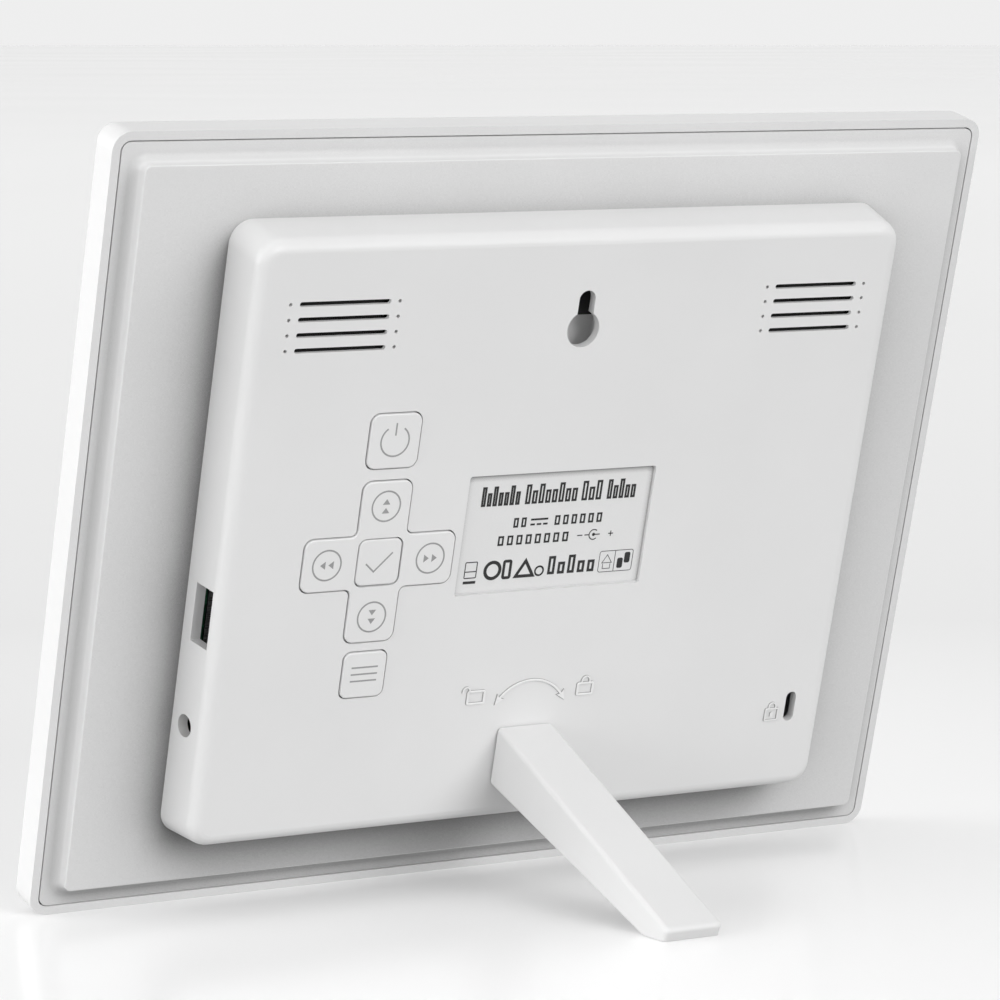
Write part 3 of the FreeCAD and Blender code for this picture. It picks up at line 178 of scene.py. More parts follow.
# ---- Materials ----
class Finish:
    """Builds one node material round a Principled shader."""

    def __init__(self, name):
        self.material = bpy.data.materials.new(name)
        self.material.use_nodes = True
        self.tree = self.material.node_tree
        self.shader = self.tree.nodes["Principled BSDF"]
        self.place = self.node("ShaderNodeTexCoord").outputs["Object"]

    def node(self, kind, **values):
        made = self.tree.nodes.new(kind)
        for key, value in values.items():
            if hasattr(made, key) and key not in made.inputs:
                setattr(made, key, value)
            else:
                made.inputs[key].default_value = value
        return made

    def link(self, source, target):
        self.tree.links.new(source, target)

    def set(self, **values):
        for key, value in values.items():
            self.shader.inputs[key.replace("_", " ")].default_value = value
        return self

    def panel_place(self):
        """Coordinates turned into the panel's axes, in metres."""
        turn = self.node("ShaderNodeMapping", vector_type="POINT")
        turn.inputs["Rotation"].default_value = (LEAN, 0.0, 0.0)
        self.link(self.place, turn.inputs["Vector"])
        return turn.outputs["Vector"]

    def stretched(self, source, scale):
        stretch = self.node("ShaderNodeMapping", vector_type="POINT")
        stretch.inputs["Scale"].default_value = scale
        self.link(source, stretch.inputs["Vector"])
        return stretch.outputs["Vector"]

    def noise(self, size, detail=2.0, place=None, roughness=0.5):
        made = self.node("ShaderNodeTexNoise")
        made.inputs["Scale"].default_value = 1.0 / size
        made.inputs["Detail"].default_value = detail
        made.inputs["Roughness"].default_value = roughness
        self.link(place or self.place, made.inputs["Vector"])
        return made.outputs["Fac"]

    def cells(self, size, feature="F1", output="Distance", place=None, metric="EUCLIDEAN"):
        made = self.node("ShaderNodeTexVoronoi", feature=feature, distance=metric)
        made.inputs["Scale"].default_value = 1.0 / size
        self.link(place or self.place, made.inputs["Vector"])
        return made.outputs[output]

    def waves(self, size, direction="X", place=None, distortion=0.0):
        """Straight waves, size metres apart."""
        made = self.node("ShaderNodeTexWave", wave_type="BANDS", bands_direction=direction)
        made.inputs["Scale"].default_value = WAVE_PITCH / size
        made.inputs["Distortion"].default_value = distortion
        self.link(place or self.place, made.inputs["Vector"])
        return made.outputs["Fac"]

    def ramp(self, source, stops):
        made = self.node("ShaderNodeValToRGB")
        band = made.color_ramp
        while len(band.elements) < len(stops):
            band.elements.new(0.5)
        for element, (position, shade) in zip(band.elements, stops):
            element.position = position
            element.color = (*shade, 1.0)
        self.link(source, made.inputs["Fac"])
        return made.outputs["Color"]

    def tint(self, source, low, high, start=0.3, end=0.7):
        """Base colour that runs between two colours."""
        self.link(self.ramp(source, ((start, low), (end, high))), self.shader.inputs["Base Color"])

    def compute(self, operation, first, second):
        """One arithmetic step; each input is a socket or a number."""
        made = self.node("ShaderNodeMath", operation=operation)
        for slot, value in enumerate((first, second)):
            if isinstance(value, bpy.types.NodeSocket):
                self.link(value, made.inputs[slot])
            else:
                made.inputs[slot].default_value = value
        return made.outputs[0]

    def along(self, axis, source=None):
        """How far a place, or a given vector, lies along one of the panel's axes, in metres."""
        axis = PANEL.to_3x3() @ Vector(axis)
        made = self.node("ShaderNodeVectorMath", operation="DOT_PRODUCT")
        made.inputs[1].default_value = axis
        self.link(source or self.place, made.inputs[0])
        if source:
            return made.outputs["Value"]
        return self.compute("SUBTRACT", made.outputs["Value"], PANEL_MIDDLE.dot(axis))

    def facing(self, low, high):
        """One on surfaces that face out of the back, falling to nothing on steep ones."""
        place = self.node("ShaderNodeNewGeometry")
        spread = self.node("ShaderNodeMapRange")
        spread.inputs["From Min"].default_value = low
        spread.inputs["From Max"].default_value = high
        self.link(self.along((0.0, 0.0, 1.0), place.outputs["Normal"]), spread.inputs["Value"])
        return spread.outputs["Result"]

    def corner_shade_places(self):
        """Where shade is painted: one on the low step round the housing and in the top of the
        keyhole's hood.
        """
        out = self.along((0.0, 0.0, 1.0))
        low = self.compute("LESS_THAN", out, (STEP_TOP + 0.2) * MM)
        inside = self.compute("LESS_THAN", out, (COVER_INSIDE - 0.2) * MM)
        high = self.compute("GREATER_THAN", self.along((0.0, 1.0, 0.0)), HOOD_PAINTED_SHADE * MM)
        return self.compute("MAXIMUM", low, self.compute("MULTIPLY", inside, high))

    def paint_corner_shade(self, power, reach, share=1.0, own=True):
        """Painted shade: darkens surfaces that face out of the back, beside and below their taller
        neighbours.

        It is painted into the base colour, so it stays when the lights change; own leaves out
        the shade of other pieces.
        """
        tilt = self.node("ShaderNodeVectorMath", operation="ADD")
        tilt.inputs[1].default_value = PANEL.to_3x3() @ Vector(SHADE_LEAN)
        self.link(self.node("ShaderNodeNewGeometry").outputs["Normal"], tilt.inputs[0])
        unit = self.node("ShaderNodeVectorMath", operation="NORMALIZE")
        self.link(tilt.outputs["Vector"], unit.inputs[0])
        near = self.node("ShaderNodeAmbientOcclusion", samples=8, only_local=own)
        near.inputs["Distance"].default_value = reach
        self.link(unit.outputs["Vector"], near.inputs["Normal"])
        lifted = self.compute("MULTIPLY", near.outputs["AO"], SHADE_LIFT)
        full = self.compute("MINIMUM", lifted, 1.0)
        mix = self.node("ShaderNodeMix", data_type="RGBA", blend_type="MULTIPLY")
        self.link(self.compute("MULTIPLY", self.facing(0.5, 1.0), share), mix.inputs["Factor"])
        self.link(self.shader.inputs["Base Color"].links[0].from_socket, mix.inputs["A"])
        self.link(self.compute("POWER", full, power), mix.inputs["B"])
        self.link(mix.outputs["Result"], self.shader.inputs["Base Color"])

    def gloss(self, source, low, high, start=0.3, end=0.7):
        """Roughness that runs between two values."""
        spread = self.node("ShaderNodeMapRange")
        for key, value in (("From Min", start), ("From Max", end),
                           ("To Min", low), ("To Max", high)):
            spread.inputs[key].default_value = value
        self.link(source, spread.inputs["Value"])
        self.link(spread.outputs["Result"], self.shader.inputs["Roughness"])

    def bump(self, source, depth):
        """Fine relief, depth metres high."""
        made = self.node("ShaderNodeBump")
        made.inputs["Distance"].default_value = depth
        made.inputs["Strength"].default_value = 1.0
        self.link(source, made.inputs["Height"])
        self.link(made.outputs["Normal"], self.shader.inputs["Normal"])


def shade(base, factor):
    return tuple(min(1.0, channel * factor) for channel in base)


def moulded(name, base, roughness, grain, depth, spread=0.02, corners=0.0):
    """Satin moulded plastic: a fine grain, slow drifts in colour and gloss, and, given corners,
    painted shade in its corners.
    """
    finish = Finish(name)
    finish.tint(finish.noise(0.035, 3.0), shade(base, 1.0 - spread), shade(base, 1.0 + spread / 2))
    # Painted shade on the low step round the housing and in the top of the keyhole's hood.
    if corners:
        finish.paint_corner_shade(corners, STEP_SHADE_REACH, finish.corner_shade_places())
    finish.gloss(finish.noise(grain * 6, 4.0), roughness - 0.05, roughness + 0.05)
    finish.bump(finish.noise(grain, 3.0, roughness=0.6), depth)
    return finish.set(IOR=1.53)


def plated(name, base, roughness, direction, size=0.00018, depth=0.000004):
    """Rolled and plated metal with fine drawn lines along one axis."""
    finish = Finish(name)
    scale = {"X": (0.04, 1.0, 1.0), "Y": (1.0, 0.04, 1.0), "Z": (1.0, 1.0, 0.04)}[direction]
    lines = finish.noise(size, 2.0, finish.stretched(finish.place, scale))
    finish.tint(finish.noise(0.006, 4.0), shade(base, 0.88), shade(base, 1.05))
    finish.gloss(lines, roughness - 0.08, roughness + 0.12)
    finish.bump(lines, depth)
    return finish.set(Metallic=1.0)


def dress(name, finish):
    """Gives a CAD node its finish as its only material."""
    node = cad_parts[name]
    node.data.materials.clear()
    node.data.materials.append(finish.material)


# ---- Shapes laid on the panel ----
def sunk_line(width):
    """Section of a shallow line, in millimetres: (across, height)."""
    half, low, top = width / 2, -LEGEND_SINK, LEGEND_PROUD
    return ((-half, low), (half, low), (half, top * 0.4), (half * 0.6, top),
            (-half * 0.6, top), (-half, top * 0.4))


def raised_line(width, height):
    """Section of a raised line with rounded shoulders."""
    half, low = width / 2, -MARK_SINK
    return ((-half, low), (half, low), (half * 0.94, height * 0.45), (half * 0.72, height * 0.85),
            (half * 0.35, height), (-half * 0.35, height), (-half * 0.72, height * 0.85),
            (-half * 0.94, height * 0.45))


def arc(middle, radius, start, end, steps=40):
    """Points along an arc, from start to end in degrees."""
    points = []
    for step in range(steps + 1):
        angle = math.radians(start + (end - start) * step / steps)
        points.append((middle[0] + radius * math.cos(angle), middle[1] + radius * math.sin(angle)))
    return points


def ring(middle, radius, steps=56):
    """Points of a full circle."""
    return arc(middle, radius, 0, 360, steps)[:-1]


def rounded_box(u0, u1, v0, v1, radius, steps=6):
    """Points of a box with round corners, from u0 to u1 across and from v0 to v1 up."""
    points = []
    for middle, start in (((u1 - radius, v1 - radius), 0), ((u0 + radius, v1 - radius), 90),
                          ((u0 + radius, v0 + radius), 180), ((u1 - radius, v0 + radius), 270)):
        points += arc(middle, radius, start, start + 90, steps)
    return points


def stroke(mesh, points, section, closed=False):
    """Sweeps a section along points, with mitred corners and flat ends."""
    count = len(points)
    loops = []
    for index in range(count):
        here = Vector(points[index])
        before = Vector(points[index - 1]) if closed or index else None
        after = Vector(points[(index + 1) % count]) if closed or index < count - 1 else None
        back = (here - before).normalized() if before is not None else (after - here).normalized()
        ahead = (after - here).normalized() if after is not None else back
        side = Vector((-(back + ahead).y, (back + ahead).x)).normalized()
        stretch = 1.0 / max(0.35, side.dot(Vector((-ahead.y, ahead.x))))
        loop = []
        for across, height in section:
            spot = here + side * across * stretch
            loop.append(mesh.verts.new((spot.x * MM, spot.y * MM, height * MM)))
        loops.append(loop)
    size = len(section)
    for index in range(count if closed else count - 1):
        first, second = loops[index], loops[(index + 1) % count]
        for corner in range(size):
            beside = (corner + 1) % size
            mesh.faces.new((first[corner], first[beside], second[beside], second[corner]))
    if not closed:
        mesh.faces.new(loops[0])
        mesh.faces.new(list(reversed(loops[-1])))


def slab(mesh, outline, low, high, chamfer=0.0):
    """A flat shape with thickness; chamfer narrows its top edge."""
    middle = Vector((sum(u for u, v in outline), sum(v for u, v in outline))) / len(outline)
    levels = [(low, 0.0), (high - chamfer, 0.0)]
    if chamfer:
        levels.append((high, chamfer))
    rows = []
    for height, inset in levels:
        row = []
        for u, v in outline:
            spot = Vector((u, v))
            pull = middle - spot
            spot = spot + pull.normalized() * min(inset, pull.length * 0.5)
            row.append(mesh.verts.new((spot.x * MM, spot.y * MM, height * MM)))
        rows.append(row)
    count = len(outline)
    for lower, upper in zip(rows, rows[1:]):
        for index in range(count):
            beside = (index + 1) % count
            mesh.faces.new((lower[index], lower[beside], upper[beside], upper[index]))
    mesh.faces.new(rows[-1])
    mesh.faces.new(list(reversed(rows[0])))


def panel_piece(name, mesh, height, finish, body):
    """Turns a mesh drawn on the panel into a piece at that height that rides on a body."""
    bmesh.ops.recalc_face_normals(mesh, faces=mesh.faces)
    data = bpy.data.meshes.new(name)
    mesh.to_mesh(data)
    mesh.free()
    piece = bpy.data.objects.new(name, data)
    bpy.context.scene.collection.objects.link(piece)
    piece.matrix_world = PANEL @ Matrix.Translation((0.0, 0.0, height * MM))
    data.materials.append(finish.material)
    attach(piece, body)
    return piece


# ---- Casing ----
class FRAME_OT_casing(bpy.types.Operator):
    """Gives the bezel, the cover, the leg and its socket their moulded plastic"""
    bl_idname = "photo_frame.casing"
    bl_label = "Casing"

    def execute(self, context):
        casing = context.scene.frame_casing
        # The casing plastic carries painted shade on the low step round the housing and in the
        # keyhole's hood.
        plastic = moulded("casing_white", casing.plastic, casing.roughness, casing.grain,
                          casing.grain_depth, corners=STEP_SHADE)
        for name in ("front_bezel", "rear_cover", "stand_leg", "leg_socket"):
            dress(name, plastic)
        return {"FINISHED"}


# ---- Screen ----
class FRAME_OT_screen(bpy.types.Operator):
    """Dresses the screen stack: glass, gasket, light guide, tray and its clamps"""
    bl_idname = "photo_frame.screen"
    bl_label = "Screen"

    def execute(self, context):
        screen = context.scene.frame_screen
        dress("lcd_glass", self.glass(screen))
        foam = Finish("foam_black")
        pores = foam.cells(0.0006)
        foam.tint(pores, (0.012, 0.012, 0.012), (0.035, 0.035, 0.035), 0.1, 0.6)
        foam.gloss(foam.noise(0.002), 0.85, 0.98)
        foam.bump(pores, 0.0001)
        dress("screen_gasket", foam)
        guide = Finish("light_guide_clear")
        dots = guide.cells(0.0022)
        guide.tint(dots, (0.93, 0.94, 0.95), (0.78, 0.80, 0.82), 0.16, 0.22)
        guide.gloss(dots, 0.55, 0.08, 0.16, 0.22)
        guide.bump(dots, 0.00002)
        guide.set(IOR=1.49, Transmission_Weight=0.35)
        dress("light_guide", guide)
        tray = Finish("chassis_steel")
        spangle = tray.cells(0.009, output="Color")
        tray.tint(spangle, (0.50, 0.51, 0.52), (0.66, 0.67, 0.68), 0.2, 0.8)
        tray.gloss(tray.noise(0.004, 4.0), 0.30, 0.46)
        tray.bump(tray.noise(0.0008, 4.0), 0.000008)
        tray.set(Metallic=1.0)
        for name in ("lcd_chassis", "clamp_strips"):
            dress(name, tray)
        return {"FINISHED"}

    def glass(self, screen):
        """Dark glass: a picture area inside a black printed border."""
        finish = Finish("screen_glass")
        inside = []
        for axis, half in (((1.0, 0.0, 0.0), screen.picture_width / 2),
                           ((0.0, 1.0, 0.0), screen.picture_height / 2)):
            away = finish.compute("ABSOLUTE", finish.along(axis), 0.0)
            inside.append(finish.compute("LESS_THAN", away, half))
        both = finish.compute("MULTIPLY", *inside)
        finish.tint(both, tuple(screen.mask), tuple(screen.dark), 0.4, 0.6)
        finish.gloss(finish.noise(0.02, 3.0), 0.07, 0.12)
        finish.bump(finish.noise(0.0003, 1.0), 0.0000008)
        return finish.set(IOR=1.5, Coat_Weight=0.3, Coat_Roughness=0.04)


# ---- Boards and what stands on them ----
class FRAME_OT_boards(bpy.types.Operator):
    """Dresses the two boards, their parts, ribbons, switches and screws"""
    bl_idname = "photo_frame.boards"
    bl_label = "Boards"

    def execute(self, context):
        board = Finish("board_green")
        flat = board.panel_place()
        tracks = board.cells(0.0034, "DISTANCE_TO_EDGE", place=flat, metric="MANHATTAN")
        board.tint(tracks, (0.035, 0.20, 0.085), (0.012, 0.105, 0.045), 0.05, 0.09)
        board.gloss(board.noise(0.01, 3.0), 0.22, 0.34)
        board.bump(tracks, 0.00003)
        board.set(IOR=1.55, Coat_Weight=0.25, Coat_Roughness=0.15)
        for name in ("main_board", "key_board"):
            dress(name, board)
        chip = moulded("chip_black", (0.020, 0.020, 0.021), 0.55, 0.00018, 0.000006, 0.2)
        for name in ("processor", "memory_chips", "key_switches"):
            dress(name, chip)
        can = plated("can_aluminium", (0.74, 0.74, 0.75), 0.24, "Y")
        dress("capacitors", can)
        ferrite = moulded("ferrite_grey", (0.085, 0.085, 0.088), 0.62, 0.0004, 0.00002, 0.25)
        dress("inductor", ferrite)
        ribbon = Finish("ribbon_white")
        wires = ribbon.waves(0.001)
        ribbon.tint(wires, (0.80, 0.79, 0.74), (0.55, 0.53, 0.47), 0.45, 0.55)
        ribbon.gloss(ribbon.noise(0.004), 0.30, 0.42)
        ribbon.bump(wires, 0.00003)
        for name in ("display_ribbon", "key_ribbon"):
            dress(name, ribbon)
        nylon = moulded("socket_white", (0.66, 0.63, 0.55), 0.50, 0.0003, 0.000008, 0.05)
        dress("ribbon_sockets", nylon)
        steel = Finish("screw_steel")
        turning = steel.waves(0.00022, "Z", distortion=2.0)
        steel.tint(steel.noise(0.002, 3.0), (0.46, 0.46, 0.47), (0.60, 0.60, 0.61))
        steel.gloss(turning, 0.22, 0.34)
        steel.bump(turning, 0.000003)
        steel.set(Metallic=1.0)
        for name in ("clamp_screws", "board_screws", "speaker_screws", "key_board_screws",
                     "socket_screws"):
            dress(name, steel)
        cell = plated("cell_steel", (0.66, 0.66, 0.67), 0.20, "X")
        dress("coin_cell", cell)
        return {"FINISHED"}


# ---- Sockets and speakers ----
class FRAME_OT_sockets(bpy.types.Operator):
    """Dresses the USB socket, the power inlet and the black moulded parts"""
    bl_idname = "photo_frame.sockets"
    bl_label = "Sockets"

    def execute(self, context):
        black = moulded("socket_black", (0.014, 0.014, 0.015), 0.46, 0.00028, 0.00001, 0.2)
        for name in ("usb_tongue", "usb_riser", "dc_jack", "coin_cell_holder", "left_speaker_frame",
                     "right_speaker_frame", "power_plunger", "pad_plungers", "confirm_plunger",
                     "menu_plunger", "pad_cradles"):
            dress(name, black)
        dress("usb_shell", plated("shell_steel", (0.60, 0.60, 0.61), 0.28, "X"))
        brass = plated("contact_brass", (0.76, 0.56, 0.22), 0.22, "X")
        for name in ("usb_contacts", "dc_jack_pin"):
            dress(name, brass)
        return {"FINISHED"}


class FRAME_OT_speakers(bpy.types.Operator):
    """Dresses the speakers and lays a woven cloth behind each vent"""
    bl_idname = "photo_frame.speakers"
    bl_label = "Speakers"

    def execute(self, context):
        cone = Finish("cone_paper")
        fibres = cone.noise(0.0007, 5.0, cone.stretched(cone.place, (1.0, 1.0, 0.25)), 0.7)
        cone.tint(fibres, (0.028, 0.028, 0.030), (0.062, 0.060, 0.058))
        cone.gloss(fibres, 0.78, 0.95)
        cone.bump(fibres, 0.00006)
        magnet = moulded("magnet_grey", (0.10, 0.10, 0.105), 0.58, 0.0005, 0.00003, 0.3)
        cloth = Finish("vent_cloth")
        flat = cloth.panel_place()
        weave = cloth.compute("MAXIMUM", cloth.waves(0.0005, "X", flat),
                              cloth.waves(0.0005, "Z", flat))
        # The cloth is nearly black: partly its own dark colour, partly painted shade for the dark
        # inside the vents.
        cloth.tint(weave, (0.002, 0.002, 0.002), (0.014, 0.014, 0.014), 0.2, 0.9)
        cloth.gloss(weave, 0.98, 0.85)
        cloth.bump(weave, 0.00008)
        for side, sign in (("left", -1), ("right", 1)):
            dress(side + "_speaker_cone", cone)
            dress(side + "_speaker_magnet", magnet)
            self.lay_cloth(side, sign, cloth)
        return {"FINISHED"}

    def lay_cloth(self, side, sign, cloth):
        """A thin gauze between the cover and the speaker, sagging a little between its edges."""
        mesh = bmesh.new()
        middle = (sign * VENT_PLACE[0], VENT_PLACE[1])
        half_width, half_height, low = 13.4, 7.2, COVER_INSIDE - 0.17
        columns, rows = 26, 14
        top, under = [], []
        for row in range(rows + 1):
            for column in range(columns + 1):
                u = middle[0] + half_width * (2 * column / columns - 1)
                v = middle[1] + half_height * (2 * row / rows - 1)
                sag = 0.03 * math.sin(math.pi * column / columns) * math.sin(math.pi * row / rows)
                top.append(mesh.verts.new((u * MM, v * MM, (low + 0.12 - sag) * MM)))
                under.append(mesh.verts.new((u * MM, v * MM, (low + 0.06 - sag) * MM)))
        wide = columns + 1
        for row in range(rows):
            for column in range(columns):
                at = row * wide + column
                corners = (at, at + 1, at + wide + 1, at + wide)
                for sheet in (top, under):
                    mesh.faces.new([sheet[corner] for corner in corners])
        border = list(range(wide)) + [row * wide + columns for row in range(1, rows + 1)]
        border += [rows * wide + column for column in range(columns - 1, -1, -1)]
        border += [row * wide for row in range(rows - 1, 0, -1)]
        for index, at in enumerate(border):
            after = border[(index + 1) % len(border)]
            mesh.faces.new((top[at], top[after], under[after], under[at]))
        panel_piece(side + "_vent_cloth", mesh, 0.0, cloth, "frame")


# ---- Keys ----
class FRAME_OT_keys(bpy.types.Operator):
    """Dresses the keys and draws their legends"""
    bl_idname = "photo_frame.keys"
    bl_label = "Keys"

    def execute(self, context):
        casing = context.scene.frame_casing
        legends = context.scene.frame_legends
        plastic = moulded("key_white", casing.key_plastic, casing.roughness - 0.04,
                          casing.grain * 0.7, casing.grain_depth * 0.7)
        for name in ("power_key", "direction_pad", "confirm_key", "menu_key", "pad_ring"):
            dress(name, plastic)
        # Painted shade: grey lines laid on the keys stand in for the shade inside the engraved
        # legends.
        paint = moulded("legend_groove_shade", legends.paint, 0.6, 0.0002, 0.000008, 0.08)
        self.line = sunk_line(legends.line / MM)
        self.radius = legends.ring_radius / MM
        self.arrow = (legends.arrow_width / MM / 2, legends.arrow_length / MM)
        self.power(paint)
        self.pad(paint)
        self.confirm(paint)
        self.menu(paint)
        return {"FINISHED"}

    def power(self, paint):
        """A ring open at the top, with an upright bar in the gap."""
        mesh = bmesh.new()
        u, v = POWER_PLACE
        stroke(mesh, arc(POWER_PLACE, self.radius, 125, 415, 50), self.line)
        stroke(mesh, [(u, v + 1.2), (u, v + 3.9)], self.line)
        panel_piece("power_symbol", mesh, KEY_TOP, paint, "power_key")

    def pad(self, paint):
        """Four rings, each with two small arrows that point away from the middle."""
        mesh = bmesh.new()
        half, reach = self.arrow
        for turn in range(4):
            angle = turn * math.pi / 2
            along = Vector((round(math.cos(angle)), round(math.sin(angle))))
            across = Vector((-along.y, along.x))
            place = Vector(PAD_PLACE) + along * PAD_ARM
            stroke(mesh, ring(place, self.radius), self.line, True)
            for shift in (-0.95, 0.95):
                base = place + along * (shift - reach / 2)
                tip = base + along * reach
                corners = [base + across * half, base - across * half, tip]
                slab(mesh, corners, -LEGEND_SINK, LEGEND_PROUD)
        panel_piece("pad_arrows", mesh, KEY_TOP, paint, "direction_pad")

    def confirm(self, paint):
        """A tick."""
        mesh = bmesh.new()
        u, v = PAD_PLACE
        stroke(mesh, [(u - 3.0, v - 0.3), (u - 1.0, v - 2.1), (u + 3.0, v + 1.9)], self.line)
        panel_piece("confirm_tick", mesh, KEY_TOP, paint, "confirm_key")

    def menu(self, paint):
        """Three short bars above each other."""
        mesh = bmesh.new()
        u, v = MENU_PLACE
        for row in (-1.5, 0.0, 1.5):
            stroke(mesh, [(u - 3.1, v + row), (u + 3.1, v + row)], self.line)
        panel_piece("menu_bars", mesh, KEY_TOP, paint, "menu_key")


# ---- Raised marks on the cover ----
class FRAME_OT_marks(bpy.types.Operator):
    """Raises the padlocks and the double-headed arrow out of the cover"""
    bl_idname = "photo_frame.marks"
    bl_label = "Raised marks"

    def execute(self, context):
        marks = context.scene.frame_marks
        plastic = Finish("mark_shade_and_highlight")
        # Painted shade and highlight: the base colour runs from the grey sides to the lighter tops
        # by how steep the surface is.
        plastic.tint(plastic.facing(0.35, 0.95), marks.side, marks.top)
        plastic.gloss(plastic.noise(0.0015, 4.0), 0.42, 0.52)
        plastic.bump(plastic.noise(0.0004, 3.0), 0.000006)
        self.width = marks.line / MM
        self.height = marks.height / MM
        self.section = raised_line(self.width, self.height)
        self.thin = raised_line(self.width * 0.75, self.height)
        self.radius = marks.arc_radius / MM
        for name, draw in (("open_padlock", self.open_padlock),
                           ("turn_arrow", self.turn_arrow),
                           ("closed_padlock", self.closed_padlock),
                           ("slot_padlock", self.slot_padlock)):
            mesh = bmesh.new()
            draw(mesh)
            piece = panel_piece(name, mesh, COVER_BACK, plastic, "frame")
            for face in piece.data.polygons:
                face.use_smooth = True
            piece.data.set_sharp_from_angle(angle=math.radians(40))
        return {"FINISHED"}

    def open_padlock(self, mesh):
        """A padlock whose arch hangs open to the left."""
        stroke(mesh, rounded_box(-15.4, -11.4, -37.85, -35.1, 0.25), self.section, True)
        arch = [(-15.1, -35.2)] + arc((-15.9, -34.85), 0.8, 0, 170, 16) + [(-16.75, -35.25)]
        stroke(mesh, arch, self.thin)

    def closed_padlock(self, mesh):
        """A padlock whose arch stands on its body."""
        stroke(mesh, rounded_box(11.75, 15.5, -37.95, -35.4, 0.25), self.section, True)
        arch = [(12.65, -35.3)] + arc((13.62, -34.85), 0.97, 180, 0, 18) + [(14.59, -35.3)]
        stroke(mesh, arch, self.thin)

    def turn_arrow(self, mesh):
        """A bow over the leg with a head at each end."""
        stroke(mesh, arc(TURN_PLACE, self.radius, 36, 143, 44), self.section)
        for angle, turn in ((145.0, 1), (34.0, -1)):
            at = math.radians(angle)
            place = Vector(arc(TURN_PLACE, self.radius, angle, angle, 1)[0])
            along = Vector((-math.sin(at), math.cos(at))) * turn
            across = Vector((-along.y, along.x))
            corners = [place + along * 1.2, place - along * 1.25 - across * 1.15,
                       place - along * 0.9, place - along * 1.25 + across * 1.15]
            slab(mesh, corners, -MARK_SINK, self.height * 0.8, 0.2)

    def slot_padlock(self, mesh):
        """A closed padlock with its keyhole, beside the lock slot."""
        stroke(mesh, rounded_box(61.95, 65.2, -48.4, -45.7, 0.2), self.thin, True)
        arch = [(62.7, -45.6)] + arc((63.57, -45.2), 0.87, 180, 0, 18) + [(64.44, -45.6)]
        stroke(mesh, arch, self.thin)
        slab(mesh, rounded_box(63.2, 63.95, -47.6, -46.5, 0.25, 4), -MARK_SINK, self.height * 0.8)


